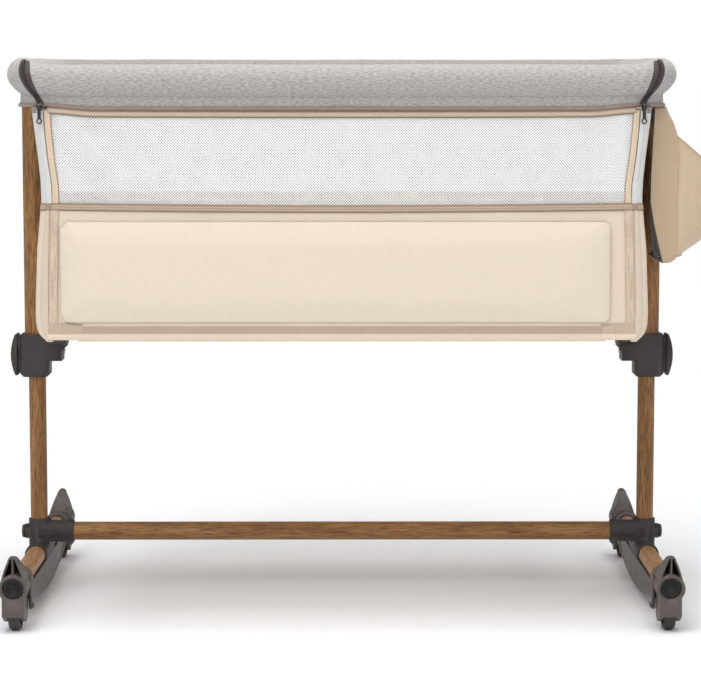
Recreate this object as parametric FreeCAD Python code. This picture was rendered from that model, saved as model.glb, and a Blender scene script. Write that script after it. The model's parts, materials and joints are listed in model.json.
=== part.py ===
"""Bedside sleeper crib: a height-adjustable bassinet with a fold-down front side.

Lengths are millimetres and +Z is up.  The sizes below are read from the
middle plane of the crib (X = 0), with the folding side towards -Y and the
floor at Z = 0.  The finished solids are moved sideways at the end, so that
the origin lies under the middle of the whole, storage bag included.
"""
import FreeCAD
import Part
import math
import os

V = FreeCAD.Vector

# ---- Main sizes --------------------------------------------------------
MATTRESS_HALF_X = 403.0
RAIL_Z = 767.0

# ---- Clearances ----------------------------------------------------------
SEAT_GAP = 0.3
CLOTH_GAP = 0.4
PLAY = 0.5
ZIP_SPLIT = 0.5

# ---- Base ----------------------------------------------------------------
POST_X = MATTRESS_HALF_X + 47.0
FOOT_TUBE_Z = 62.0
FOOT_TUBE_R = 13.5
TUBE_WALL = 1.5
FOOT_UNIT_INNER_Y = 226.0
FOOT_UNIT_LENGTH = 64.0
FOOT_SOCKET_DEPTH = 9.5
CROSSBAR_R = 13.5
CROSSBAR_RISE = 28.5
LOWER_POST_R = 12.5
LOWER_POST_FLOOR = 16.0
LOWER_POST_TOP_Z = 540.0
GLIDE_STEM = 20.0
GLIDE_FLANGE = 8.0
JOINT_WALL = 2.7
JOINT_TOP_Z = 110.0
JOINT_FOOT_COLLAR = 45.0
JOINT_SOCKET_REACH = 52.0
JOINT_STEM = 28.0
BOLT_R = 3.0
BOLT_HEAD_R = 5.0
BOLT_HEAD = 4.0
BOLT_BOSS_R = 11.0
BOLT_BOSS_REACH = 20.0
CAP_R = 10.0
CAP_HEIGHT = 5.0

# ---- Runners -------------------------------------------------------------
RUNNER_WIDTH = 30.0
RUNNER_LOW_Z = 12.0
RUNNER_ARC_R = 960.0
RUNNER_TOP_RISE = 8.0
RUNNER_SKIN = 3.5
RUNNER_RIB = 3.0
RUNNER_RIB_PITCH = 32.0
RUNNER_COLLAR_R = 17.5
RUNNER_COLLAR = 20.0

# ---- Foot units ----------------------------------------------------------
FOOT_R = 19.5
FOOT_BODY_WIDTH = 30.0
FIN_HEIGHT = 45.0
FIN_BASE_WIDTH = 36.0
FIN_TIP_WIDTH = 13.0
FIN_BACK = 48.0
FIN_WALL = 2.5
FIN_RIB = 2.0
WHEEL_R = 22.5
WHEEL_WIDTH = 16.0
WHEEL_INSET = 28.0
WHEEL_GAP = 1.8
WHEEL_SIDE_GAP = 1.2
HUB_R = 7.0
AXLE_R = 3.0
CHEEK_R = 11.0
FRONT_WALL_LOW_Z = 23.0
LATCH_THICK = 3.6
LATCH_WIDTH = 16.0
LATCH_LOW_Z = 25.0
LATCH_TOP_Z = 71.0
LATCH_BACK = 48.0
LATCH_NOSE_R = 2.5
LATCH_RECESS = 16.4

# ---- Height adjuster -----------------------------------------------------
SLEEVE_LOW_Z = 322.5
SLEEVE_TOP_Z = 385.6
SLEEVE_OUT = 23.0
SLEEVE_IN = 20.0
SLEEVE_HALF_DEPTH = 22.0
UPPER_SOCKET = 14.5
LOCK_Z = 360.0
LOCK_PIN_R = 3.5
LOCK_PITCH = 26.6
LOCK_LEVELS = 7
YOKE_HEIGHT = 12.0
YOKE_ARM = 3.0
BUTTON_TRAVEL = 4.0
BUTTON_CAP = 9.5
BUTTON_HALF_DEPTH = 17.0
BUTTON_GROOVES = 6
GROOVE_PITCH = 4.2
GROOVE_WIDTH = 1.6
ARM_REACH = 38.0
ARM_LOW_Z = 346.0
ARM_TOP_Z = 374.0
ARM_HALF_DEPTH = 21.0
HANGER_THICK = 4.0
STUD_R = 3.5
STUD_LENGTH = 3.5

# ---- Bassinet frame ------------------------------------------------------
UPPER_POST_R = 17.5
UPPER_POST_TOP_Z = RAIL_Z - 25.0
RAIL_X = MATTRESS_HALF_X + 42.0
RAIL_Y = 262.0
RAIL_BEND = 47.0
RAIL_R = 9.5
RAIL_STOP = 8.0
FRONT_RAIL_Z = RAIL_Z - 15.0
HEM_Z = FRONT_RAIL_Z - 38.5
FRAME_X = MATTRESS_HALF_X - 5.0
FRAME_FRONT_Y = -226.0
FRAME_REAR_Y = 246.0
FRAME_Z = 412.0
FRAME_R = 8.0
FRAME_BEND = 20.0
SLAT_X = 150.0
SLAT_R = 6.0
BOARD_THICK = 6.0
MATTRESS_THICK = 48.0
MATTRESS_CROWN = 5.0
MATTRESS_FRONT_Y = -243.0
MATTRESS_REAR_Y = 250.0

# ---- Drop side -----------------------------------------------------------
UPRIGHT_X = MATTRESS_HALF_X - 13.0
UPRIGHT_R = 7.0
DROP_BEND = 32.0
EYE_R = 9.0
PIVOT_R = 4.0
CLAMP_WALL = 3.0
CLAMP_LENGTH = 14.0
BRACKET_X = MATTRESS_HALF_X - 34.0
FRONT_SHEET_X = MATTRESS_HALF_X - 3.0
FRONT_SHEET_FACE = 10.0
SHEET_THICK = 2.5
SHEET_LOW_Z = 400.0
NET_X = MATTRESS_HALF_X - 17.0
NET_TOP_Z = HEM_Z - 9.5
NET_LOW_Z = NET_TOP_Z - 117.0
NET_COLUMNS = 28
NET_ROWS = 5
NET_HOLE = 13.0
NET_MARGIN = 7.0
REAR_NET_THICK = 1.5
PAD_LEFT_X = -(MATTRESS_HALF_X - 17.0)
PAD_RIGHT_X = MATTRESS_HALF_X - 33.0
PAD_LOW_Z = 418.0
PAD_TOP_Z = NET_LOW_Z - 14.0
PAD_CROWN = 11.0

# ---- Cloth and padding ---------------------------------------------------
ROLL_R = 23.0
HEM_HALF = 10.0
NECK_RISE = 24.0
ZIP_TOP_X = MATTRESS_HALF_X + 29.0
ZIP_TOP_Z = RAIL_Z + 9.0
ZIP_LOW_X = MATTRESS_HALF_X + 2.0
ZIP_LOW_Z = HEM_Z + 1.5
ZIP_WIDTH = 11.0
ZIP_THICK = 0.9
CLOTH_REAR_Y = 268.0
CLOTH_BEND = 9.0
CLOTH_THICK = 3.0
FRONT_RETURN = 30.0
BASE_CLOTH_THICK = 2.5
BAG_X = MATTRESS_HALF_X + 34.0
BAG_FRONT_Y = -235.0
BAG_REAR_Y = -30.0
BAG_TOP_Z = HEM_Z - 0.5
BAG_LOW_Z = 496.0
BAG_DEPTH = 40.0
BAG_LIP = 18.0
BAG_BELLY = 59.0
BAG_BELLY_RISE = 92.0
BAG_FOOT = 34.0
BAG_POCKET_DROP = 41.0
BAG_POCKET_RISE = 10.0
BAG_WALL = 2.5
SLIDER_HEIGHT = 11.0
SLIDER_THICK = 4.5
PULL_LENGTH = 21.0
PULL_THICK = 1.4

# ---- Sizes that follow from the ones above -------------------------------
TUBE_END_Y = FOOT_UNIT_INNER_Y + FOOT_UNIT_LENGTH - FOOT_SOCKET_DEPTH + PLAY
FOOT_OUTER_Y = FOOT_UNIT_INNER_Y + FOOT_UNIT_LENGTH
CROSSBAR_Z = FOOT_TUBE_Z + CROSSBAR_RISE
LOWER_POST_LOW_Z = FOOT_TUBE_Z + LOWER_POST_FLOOR
WHEEL_Y = FOOT_OUTER_Y - WHEEL_INSET
UPPER_POST_BORE = UPPER_POST_R - TUBE_WALL
UPPER_POST_LOW_Z = SLEEVE_TOP_Z - UPPER_SOCKET + SEAT_GAP
SHEET_FACE_Y = -RAIL_Y - FRONT_SHEET_FACE
BOARD_LOW_Z = FRAME_Z + FRAME_R + SEAT_GAP
MATTRESS_LOW_Z = BOARD_LOW_Z + BOARD_THICK + SEAT_GAP
ZIP_X = FRONT_SHEET_X + 2.5


# ---- General shapes ------------------------------------------------------
def rod(radius, start, end):
    """Solid cylinder from one point to another."""
    run = end - start
    return Part.makeCylinder(radius, run.Length, start, run)


def pipe(outer, inner, start, end):
    """Cylinder with a bore right through it."""
    step = (end - start).normalize()
    return rod(outer, start, end).cut(rod(inner, start - step, end + step))


def block(x0, x1, y0, y1, z0, z1):
    """Box between two corners, given in any order."""
    low = V(min(x0, x1), min(y0, y1), min(z0, z1))
    return Part.makeBox(abs(x1 - x0), abs(y1 - y0), abs(z1 - z0), low)


def soft_block(x0, x1, y0, y1, z0, z1, radius, axis):
    """Box whose four edges along one axis are rounded."""
    body = block(x0, x1, y0, y1, z0, z1)
    edges = [e for e in body.Edges if abs(e.tangentAt(e.FirstParameter).dot(axis)) > 0.99]
    return body.makeFillet(radius, edges)


def prism(points, run):
    """Extrusion of a closed polygon."""
    face = Part.Face(Part.makePolygon(points + [points[0]]))
    return face.extrude(run)


def fused(shapes):
    """One solid out of shapes that meet."""
    whole = shapes[0]
    for shape in shapes[1:]:
        whole = whole.fuse(shape)
    return whole.removeSplitter()


def mirror_x(shape):
    """The same piece on the other end of the crib."""
    return shape.mirror(V(0, 0, 0), V(1, 0, 0))


def mirror_y(shape):
    """The same piece on the other long side of the crib."""
    return shape.mirror(V(0, 0, 0), V(0, 1, 0))


def bent_path(points, bend):
    """Wire of straight runs joined by tangent arcs of one radius."""
    edges = []
    start = points[0]
    for index in range(1, len(points) - 1):
        corner = points[index]
        back = (points[index - 1] - corner).normalize()
        ahead = (points[index + 1] - corner).normalize()
        half = back.getAngle(ahead) / 2
        reach = bend / math.tan(half)
        arc_start = corner + back * reach
        arc_end = corner + ahead * reach
        middle_way = (back + ahead).normalize()
        arc_middle = corner + middle_way * (bend / math.sin(half) - bend)
        if (arc_start - start).Length > 0.001:
            edges.append(Part.LineSegment(start, arc_start).toShape())
        edges.append(Part.Arc(arc_start, arc_middle, arc_end).toShape())
        start = arc_end
    if (points[-1] - start).Length > 0.001:
        edges.append(Part.LineSegment(start, points[-1]).toShape())
    return Part.Wire(edges)


def bar_along(path, radius, start, heading):
    """Round bar that follows a wire."""
    ring = Part.Wire(Part.makeCircle(radius, start, heading))
    return path.makePipeShell([ring], True, False)


# ---- Base ----------------------------------------------------------------
def foot_tube():
    """Left foot tube with three index holes near each end."""
    tube = pipe(
        FOOT_TUBE_R,
        FOOT_TUBE_R - TUBE_WALL,
        V(-POST_X, -TUBE_END_Y, FOOT_TUBE_Z),
        V(-POST_X, TUBE_END_Y, FOOT_TUBE_Z),
    )
    for side in (-1, 1):
        y = side * (FOOT_OUTER_Y - LATCH_BACK)
        centre = V(-POST_X, y, FOOT_TUBE_Z)
        tube = tube.cut(rod(LATCH_NOSE_R, centre - V(20, 0, 0), centre + V(20, 0, 0)))
        tube = tube.cut(rod(LATCH_NOSE_R, centre, centre + V(0, 0, 20)))
    return tube


def tube_end_plug(x, side):
    """Plug whose flange keeps the foot unit on the tube."""
    y = side * TUBE_END_Y
    stem = rod(
        FOOT_TUBE_R - TUBE_WALL - SEAT_GAP,
        V(x, y - side * 16, FOOT_TUBE_Z),
        V(x, y + side * SEAT_GAP, FOOT_TUBE_Z),
    )
    flange = rod(
        FOOT_TUBE_R + 1.1,
        V(x, y + side * SEAT_GAP, FOOT_TUBE_Z),
        V(x, y + side * (SEAT_GAP + 3), FOOT_TUBE_Z),
    )
    dish = rod(
        FOOT_TUBE_R - 4,
        V(x, y + side * 1.5, FOOT_TUBE_Z),
        V(x, y + side * 5, FOOT_TUBE_Z),
    )
    return stem.fuse(flange).cut(dish).removeSplitter()


def base_joint():
    """Moulded joint of the left post, crossbar and foot tube."""
    post_collar = rod(
        LOWER_POST_R + SEAT_GAP + JOINT_WALL,
        V(-POST_X, 0, FOOT_TUBE_Z),
        V(-POST_X, 0, JOINT_TOP_Z),
    )
    foot_collar = rod(
        FOOT_TUBE_R + SEAT_GAP + JOINT_WALL,
        V(-POST_X, -JOINT_FOOT_COLLAR, FOOT_TUBE_Z),
        V(-POST_X, JOINT_FOOT_COLLAR, FOOT_TUBE_Z),
    )
    socket_end = -POST_X + JOINT_SOCKET_REACH
    socket = rod(
        CROSSBAR_R + SEAT_GAP + JOINT_WALL,
        V(-POST_X, 0, CROSSBAR_Z),
        V(socket_end, 0, CROSSBAR_Z),
    )
    boss = rod(
        BOLT_BOSS_R,
        V(-POST_X, 0, CROSSBAR_Z),
        V(-POST_X - BOLT_BOSS_REACH, 0, CROSSBAR_Z),
    )
    body = fused([foot_collar, post_collar, socket, boss])
    try_edges = [
        e for e in body.Edges
        if abs(e.BoundBox.ZMin - JOINT_TOP_Z) < 0.01
        or abs(e.BoundBox.XMin - socket_end) < 0.01
        or (e.BoundBox.YLength < 0.01 and abs(abs(e.BoundBox.YMin) - JOINT_FOOT_COLLAR) < 0.01)
    ]
    body = body.makeFillet(1.2, try_edges)
    snap_tab = block(socket_end - 10, socket_end - 2, -4, 4, CROSSBAR_Z + 14, CROSSBAR_Z + 18)
    collar_tab = block(
        -POST_X + LOWER_POST_R + 1, -POST_X + LOWER_POST_R + 5,
        -4, 4, JOINT_TOP_Z - 10, JOINT_TOP_Z + 1.5,
    )
    body = fused([body, snap_tab, collar_tab])
    stem_end = crossbar_end() + JOINT_STEM
    bores = [
        rod(
            LOWER_POST_R + SEAT_GAP,
            V(-POST_X, 0, LOWER_POST_LOW_Z - SEAT_GAP),
            V(-POST_X, 0, JOINT_TOP_Z + 5),
        ),
        rod(
            FOOT_TUBE_R + SEAT_GAP,
            V(-POST_X, -JOINT_FOOT_COLLAR - 1, FOOT_TUBE_Z),
            V(-POST_X, JOINT_FOOT_COLLAR + 1, FOOT_TUBE_Z),
        ),
        rod(
            CROSSBAR_R + SEAT_GAP,
            V(crossbar_end() - SEAT_GAP, 0, CROSSBAR_Z),
            V(socket_end + 1, 0, CROSSBAR_Z),
        ),
    ]
    for bore in bores:
        body = body.cut(bore)
    stem = rod(
        CROSSBAR_R - TUBE_WALL - SEAT_GAP,
        V(crossbar_end() - 2, 0, CROSSBAR_Z),
        V(stem_end, 0, CROSSBAR_Z),
    )
    post_space = rod(
        LOWER_POST_R + SEAT_GAP,
        V(-POST_X, 0, LOWER_POST_LOW_Z - SEAT_GAP),
        V(-POST_X, 0, JOINT_TOP_Z),
    )
    body = body.fuse(stem.cut(post_space))
    body = body.cut(post_bolt_space())
    return body.removeSplitter()


def crossbar_end():
    """Where the left end of the crossbar stops, short of the post's bore."""
    return -POST_X + LOWER_POST_R + 3 * SEAT_GAP + JOINT_WALL


def bolt_head_x():
    """Outer face of the left bolt's head."""
    return -POST_X - LOWER_POST_R - SEAT_GAP - 1.5


def post_bolt_space():
    """Hole for the left bolt's shank and head."""
    shank = rod(
        BOLT_R + SEAT_GAP,
        V(-POST_X - 30, 0, CROSSBAR_Z),
        V(crossbar_end() + JOINT_STEM - 3, 0, CROSSBAR_Z),
    )
    head = rod(
        BOLT_HEAD_R + SEAT_GAP,
        V(-POST_X - 30, 0, CROSSBAR_Z),
        V(bolt_head_x(), 0, CROSSBAR_Z),
    )
    return shank.fuse(head)


def post_bolt():
    """Hexagon-socket bolt through the left joint and post."""
    head_end = bolt_head_x() - SEAT_GAP
    shank = rod(BOLT_R, V(head_end, 0, CROSSBAR_Z), V(crossbar_end() + JOINT_STEM - 5, 0, CROSSBAR_Z))
    head = rod(BOLT_HEAD_R, V(head_end - BOLT_HEAD, 0, CROSSBAR_Z), V(head_end, 0, CROSSBAR_Z))
    drive = [
        V(
            head_end - BOLT_HEAD - 1,
            2.6 * math.cos(math.radians(60 * k)),
            CROSSBAR_Z + 2.6 * math.sin(math.radians(60 * k)),
        )
        for k in range(6)
    ]
    return shank.fuse(head).cut(prism(drive, V(3.5, 0, 0))).removeSplitter()


def bolt_cap():
    """Round snap cap over the left bolt, with a shallow dome."""
    face_x = -POST_X - BOLT_BOSS_REACH - SEAT_GAP
    rim = rod(CAP_R, V(face_x - CAP_HEIGHT, 0, CROSSBAR_Z), V(face_x, 0, CROSSBAR_Z))
    outer = [e for e in rim.Edges if e.BoundBox.XMax < face_x - CAP_HEIGHT + 0.1]
    rim = rim.makeFillet(3.0, outer)
    plug_end = bolt_head_x() - 2 * SEAT_GAP - BOLT_HEAD
    plug = rod(BOLT_HEAD_R, V(face_x - 1, 0, CROSSBAR_Z), V(plug_end, 0, CROSSBAR_Z))
    return rim.fuse(plug).removeSplitter()


def crossbar():
    """Tube between the two joints."""
    return pipe(
        CROSSBAR_R,
        CROSSBAR_R - TUBE_WALL,
        V(crossbar_end(), 0, CROSSBAR_Z),
        V(-crossbar_end(), 0, CROSSBAR_Z),
    )


def lower_post():
    """Left post with its row of lock holes on the inner side."""
    post = pipe(
        LOWER_POST_R,
        LOWER_POST_R - TUBE_WALL,
        V(-POST_X, 0, LOWER_POST_LOW_Z),
        V(-POST_X, 0, LOWER_POST_TOP_Z),
    )
    for level in range(LOCK_LEVELS):
        z = LOCK_Z - level * LOCK_PITCH
        post = post.cut(rod(LOCK_PIN_R + SEAT_GAP, V(-POST_X, 0, z), V(-POST_X + 20, 0, z)))
    bolt_hole = rod(BOLT_R + SEAT_GAP, V(-POST_X - 20, 0, CROSSBAR_Z), V(-POST_X + 20, 0, CROSSBAR_Z))
    return post.cut(bolt_hole)


def post_glide(x):
    """Plastic cap that centres the lower post in the upper one."""
    stem = rod(
        LOWER_POST_R - TUBE_WALL - SEAT_GAP,
        V(x, 0, LOWER_POST_TOP_Z - GLIDE_STEM),
        V(x, 0, LOWER_POST_TOP_Z + 1),
    )
    flange = rod(
        UPPER_POST_BORE - SEAT_GAP,
        V(x, 0, LOWER_POST_TOP_Z + SEAT_GAP),
        V(x, 0, LOWER_POST_TOP_Z + SEAT_GAP + GLIDE_FLANGE),
    )
    return stem.fuse(flange).removeSplitter()


def arc_z(y, lift):
    """Height of the rocker arc, moved up square to itself by a lift."""
    radius = RUNNER_ARC_R - lift
    return RUNNER_LOW_Z + RUNNER_ARC_R - math.sqrt(radius * radius - y * y)


def runner_profile(lift, top, reach, x):
    """Side outline of a runner: an arc below and a straight edge above."""
    start = V(x, -reach, arc_z(-reach, lift))
    end = V(x, reach, arc_z(reach, lift))
    arc = Part.Arc(start, V(x, 0, arc_z(0, lift)), end).toShape()
    upper = Part.makePolygon([end, V(x, reach, top), V(x, -reach, top), start])
    return Part.Face(Part.Wire([arc] + upper.Edges))


def runner():
    """Left rocker: skin, rim and ribs open to the outside, collars at both ends."""
    inner_x = -POST_X + RUNNER_WIDTH / 2
    outer_x = -POST_X - RUNNER_WIDTH / 2
    reach = FOOT_UNIT_INNER_Y - SEAT_GAP
    top = FOOT_TUBE_Z - RUNNER_TOP_RISE
    body = runner_profile(0, top, reach, outer_x).extrude(V(RUNNER_WIDTH, 0, 0))
    pocket_reach = reach - RUNNER_COLLAR - RUNNER_SKIN
    pocket = runner_profile(RUNNER_SKIN, top + 10, pocket_reach, outer_x - 1)
    pocket = pocket.extrude(V(RUNNER_WIDTH + 1 - RUNNER_SKIN, 0, 0))
    ribs = int(2 * pocket_reach / RUNNER_RIB_PITCH)
    first = -(ribs - 1) / 2 * RUNNER_RIB_PITCH
    for index in range(ribs):
        y = first + index * RUNNER_RIB_PITCH
        pocket = pocket.cut(
            block(outer_x - 2, inner_x, y - RUNNER_RIB / 2, y + RUNNER_RIB / 2, 0, top + 20)
        )
    body = body.cut(pocket)
    for side in (-1, 1):
        collar = rod(
            RUNNER_COLLAR_R,
            V(-POST_X, side * (reach - RUNNER_COLLAR), FOOT_TUBE_Z),
            V(-POST_X, side * reach, FOOT_TUBE_Z),
        )
        body = body.fuse(collar)
    tube_space = rod(
        FOOT_TUBE_R + SEAT_GAP,
        V(-POST_X, -reach - 1, FOOT_TUBE_Z),
        V(-POST_X, reach + 1, FOOT_TUBE_Z),
    )
    joint_space = rod(
        FOOT_TUBE_R + JOINT_WALL + 2 * SEAT_GAP,
        V(-POST_X, -JOINT_FOOT_COLLAR - PLAY, FOOT_TUBE_Z),
        V(-POST_X, JOINT_FOOT_COLLAR + PLAY, FOOT_TUBE_Z),
    )
    return body.cut(tube_space).cut(joint_space).removeSplitter()


# ---- Foot units ----------------------------------------------------------
def fin_body(shrink):
    """Fin above the socket: a front outline that narrows, cut to a sloping back."""
    base = FIN_BASE_WIDTH / 2 - shrink
    tip = FIN_TIP_WIDTH / 2 - shrink
    top = FOOT_TUBE_Z + FIN_HEIGHT - shrink
    low = FOOT_TUBE_Z
    shoulder = top - tip
    x = -POST_X
    y = -FOOT_OUTER_Y - 1
    left = Part.Arc(
        V(x - base, y, low),
        V(x - (base + tip) / 2 - 1.5, y, (low + shoulder) / 2),
        V(x - tip, y, shoulder),
    ).toShape()
    crown = Part.Arc(V(x - tip, y, shoulder), V(x, y, top), V(x + tip, y, shoulder)).toShape()
    right = Part.Arc(
        V(x + tip, y, shoulder),
        V(x + (base + tip) / 2 + 1.5, y, (low + shoulder) / 2),
        V(x + base, y, low),
    ).toShape()
    floor = Part.LineSegment(V(x + base, y, low), V(x - base, y, low)).toShape()
    front = Part.Face(Part.Wire([left, crown, right, floor])).extrude(V(0, FIN_BACK + 1, 0))
    back_y = -FOOT_OUTER_Y + FIN_BACK - shrink
    face_y = -FOOT_OUTER_Y - shrink * 2
    slope = Part.Arc(
        V(x - 40, back_y, low),
        V(x - 40, (back_y + face_y) / 2 + 7, (low + top) / 2 + 7),
        V(x - 40, face_y + 7, top + 0.5),
    ).toShape()
    rest = Part.makePolygon([
        V(x - 40, face_y + 7, top + 0.5), V(x - 40, face_y, top + 0.5),
        V(x - 40, face_y, low), V(x - 40, back_y, low),
    ])
    side = Part.Face(Part.Wire([slope] + rest.Edges)).extrude(V(80, 0, 0))
    return front.common(side)


def foot_unit():
    """Front left housing: tube socket, fin with its rib, cheeks round the wheel."""
    x = -POST_X
    half = FOOT_BODY_WIDTH / 2
    collar = rod(FOOT_R, V(x, -FOOT_OUTER_Y, FOOT_TUBE_Z), V(x, -FOOT_UNIT_INNER_Y, FOOT_TUBE_Z))
    fin = fin_body(0)
    front_y = -FOOT_OUTER_Y
    side = [
        V(x - half, front_y, FOOT_TUBE_Z),
        V(x - half, front_y, FRONT_WALL_LOW_Z),
        V(x - half, -WHEEL_Y - CHEEK_R + 1, WHEEL_R - CHEEK_R + 3),
        V(x - half, -WHEEL_Y + CHEEK_R - 1, WHEEL_R - CHEEK_R + 3),
        V(x - half, -WHEEL_Y + CHEEK_R + 11, WHEEL_R + 14),
        V(x - half, -WHEEL_Y + CHEEK_R + 11, FOOT_TUBE_Z),
    ]
    cheeks = prism(side, V(FOOT_BODY_WIDTH, 0, 0))
    cheeks = cheeks.fuse(rod(CHEEK_R, V(x - half, -WHEEL_Y, WHEEL_R), V(x + half, -WHEEL_Y, WHEEL_R)))
    body = fused([collar, fin, cheeks])
    hollow = fin_body(FIN_WALL)
    keep = rod(FOOT_R, V(x, -FOOT_OUTER_Y - 2, FOOT_TUBE_Z), V(x, -FOOT_UNIT_INNER_Y, FOOT_TUBE_Z))
    rib = block(x - FIN_RIB / 2, x + FIN_RIB / 2, -400, -200, FOOT_TUBE_Z, FOOT_TUBE_Z + 80)
    body = body.cut(hollow.cut(keep).cut(rib))
    slot_half = WHEEL_WIDTH / 2 + WHEEL_SIDE_GAP
    slot_r = WHEEL_R + WHEEL_GAP
    slot = rod(slot_r, V(x - slot_half, -WHEEL_Y, WHEEL_R), V(x + slot_half, -WHEEL_Y, WHEEL_R))
    slot = slot.fuse(
        block(x - slot_half, x + slot_half, -WHEEL_Y - slot_r, -WHEEL_Y + slot_r + 12, -5, WHEEL_R)
    )
    slot = slot.fuse(
        block(x - slot_half, x + slot_half, -WHEEL_Y, -WHEEL_Y + slot_r + 12, -5, WHEEL_R + slot_r)
    )
    body = body.cut(slot)
    bore = rod(
        FOOT_TUBE_R + SEAT_GAP,
        V(x, -FOOT_OUTER_Y - 1, FOOT_TUBE_Z),
        V(x, -FOOT_UNIT_INNER_Y + 1, FOOT_TUBE_Z),
    )
    counterbore = rod(
        FOOT_TUBE_R + SEAT_GAP + 1.2,
        V(x, -FOOT_OUTER_Y - 1, FOOT_TUBE_Z),
        V(x, -FOOT_OUTER_Y + FOOT_SOCKET_DEPTH, FOOT_TUBE_Z),
    )
    axle_hole = rod(AXLE_R + 0.1, V(x - half - 1, -WHEEL_Y, WHEEL_R), V(x + half + 1, -WHEEL_Y, WHEEL_R))
    body = body.cut(bore).cut(counterbore).cut(axle_hole)
    latch_y = -FOOT_OUTER_Y + LATCH_BACK
    flat = block(
        x + LATCH_RECESS, x + FOOT_R + 5,
        latch_y - LATCH_WIDTH / 2 - PLAY, latch_y + LATCH_WIDTH / 2 + PLAY,
        FOOT_TUBE_Z - 30, LATCH_TOP_Z + 12,
    )
    nose_hole = rod(
        LATCH_NOSE_R + SEAT_GAP,
        V(x + 10, latch_y, FOOT_TUBE_Z),
        V(x + 30, latch_y, FOOT_TUBE_Z),
    )
    guide_hole = rod(
        LATCH_NOSE_R + SEAT_GAP,
        V(x + slot_half, latch_y, latch_guide_z()),
        V(x + 30, latch_y, latch_guide_z()),
    )
    body = body.cut(flat).cut(nose_hole).cut(guide_hole)
    return body.removeSplitter()


def latch_guide_z():
    """Height of the latch's lower guide pin, in the cheek's upper part."""
    return FOOT_TUBE_Z - 20


def foot_latch():
    """Pull latch of the front left unit: plate, thumb rib, nose and guide pin."""
    inner_x = -POST_X + LATCH_RECESS + SEAT_GAP
    y = -FOOT_OUTER_Y + LATCH_BACK
    plate = soft_block(
        inner_x, inner_x + LATCH_THICK,
        y - LATCH_WIDTH / 2, y + LATCH_WIDTH / 2,
        LATCH_LOW_Z, LATCH_TOP_Z, 5.0, V(1, 0, 0),
    )
    nose = rod(
        LATCH_NOSE_R,
        V(-POST_X + FOOT_TUBE_R + SEAT_GAP, y, FOOT_TUBE_Z),
        V(inner_x + 1, y, FOOT_TUBE_Z),
    )
    guide = rod(
        LATCH_NOSE_R,
        V(-POST_X + WHEEL_WIDTH / 2 + WHEEL_SIDE_GAP + SEAT_GAP, y, latch_guide_z()),
        V(inner_x + 1, y, latch_guide_z()),
    )
    thumb = soft_block(
        inner_x + LATCH_THICK - 0.5, inner_x + LATCH_THICK + 2.5,
        y - LATCH_WIDTH / 2 + 2, y + LATCH_WIDTH / 2 - 2,
        LATCH_LOW_Z + 2, LATCH_LOW_Z + 7, 1.2, V(0, 1, 0),
    )
    return fused([plate, nose, guide, thumb])


def wheel():
    """Front left wheel: rounded tread, thin web, hub with a bore."""
    half = WHEEL_WIDTH / 2
    hub_half = half + WHEEL_SIDE_GAP / 2
    bore = AXLE_R + SEAT_GAP
    tread = 6.0
    web = 2.5
    outline = [
        V(bore, -hub_half), V(HUB_R, -hub_half), V(HUB_R, -web),
        V(WHEEL_R - tread, -web), V(WHEEL_R - tread, -half), V(WHEEL_R - 3, -half),
        V(WHEEL_R, -half + 3), V(WHEEL_R, half - 3), V(WHEEL_R - 3, half),
        V(WHEEL_R - tread, half), V(WHEEL_R - tread, web), V(HUB_R, web),
        V(HUB_R, hub_half), V(bore, hub_half),
    ]
    points = [V(p.y, p.x, 0) for p in outline]
    face = Part.Face(Part.makePolygon(points + [points[0]]))
    body = face.revolve(V(0, 0, 0), V(1, 0, 0), 360)
    for k in range(5):
        turn = math.radians(72 * k)
        y = 11.8 * math.cos(turn)
        z = 11.8 * math.sin(turn)
        body = body.cut(rod(2.8, V(-5, y, z), V(5, y, z)))
    body.translate(V(-POST_X, -WHEEL_Y, WHEEL_R))
    return body


def wheel_axle():
    """Steel axle of the front left wheel, held in both cheeks."""
    half = FOOT_BODY_WIDTH / 2 - 0.5
    return rod(AXLE_R, V(-POST_X - half, -WHEEL_Y, WHEEL_R), V(-POST_X + half, -WHEEL_Y, WHEEL_R))


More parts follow.
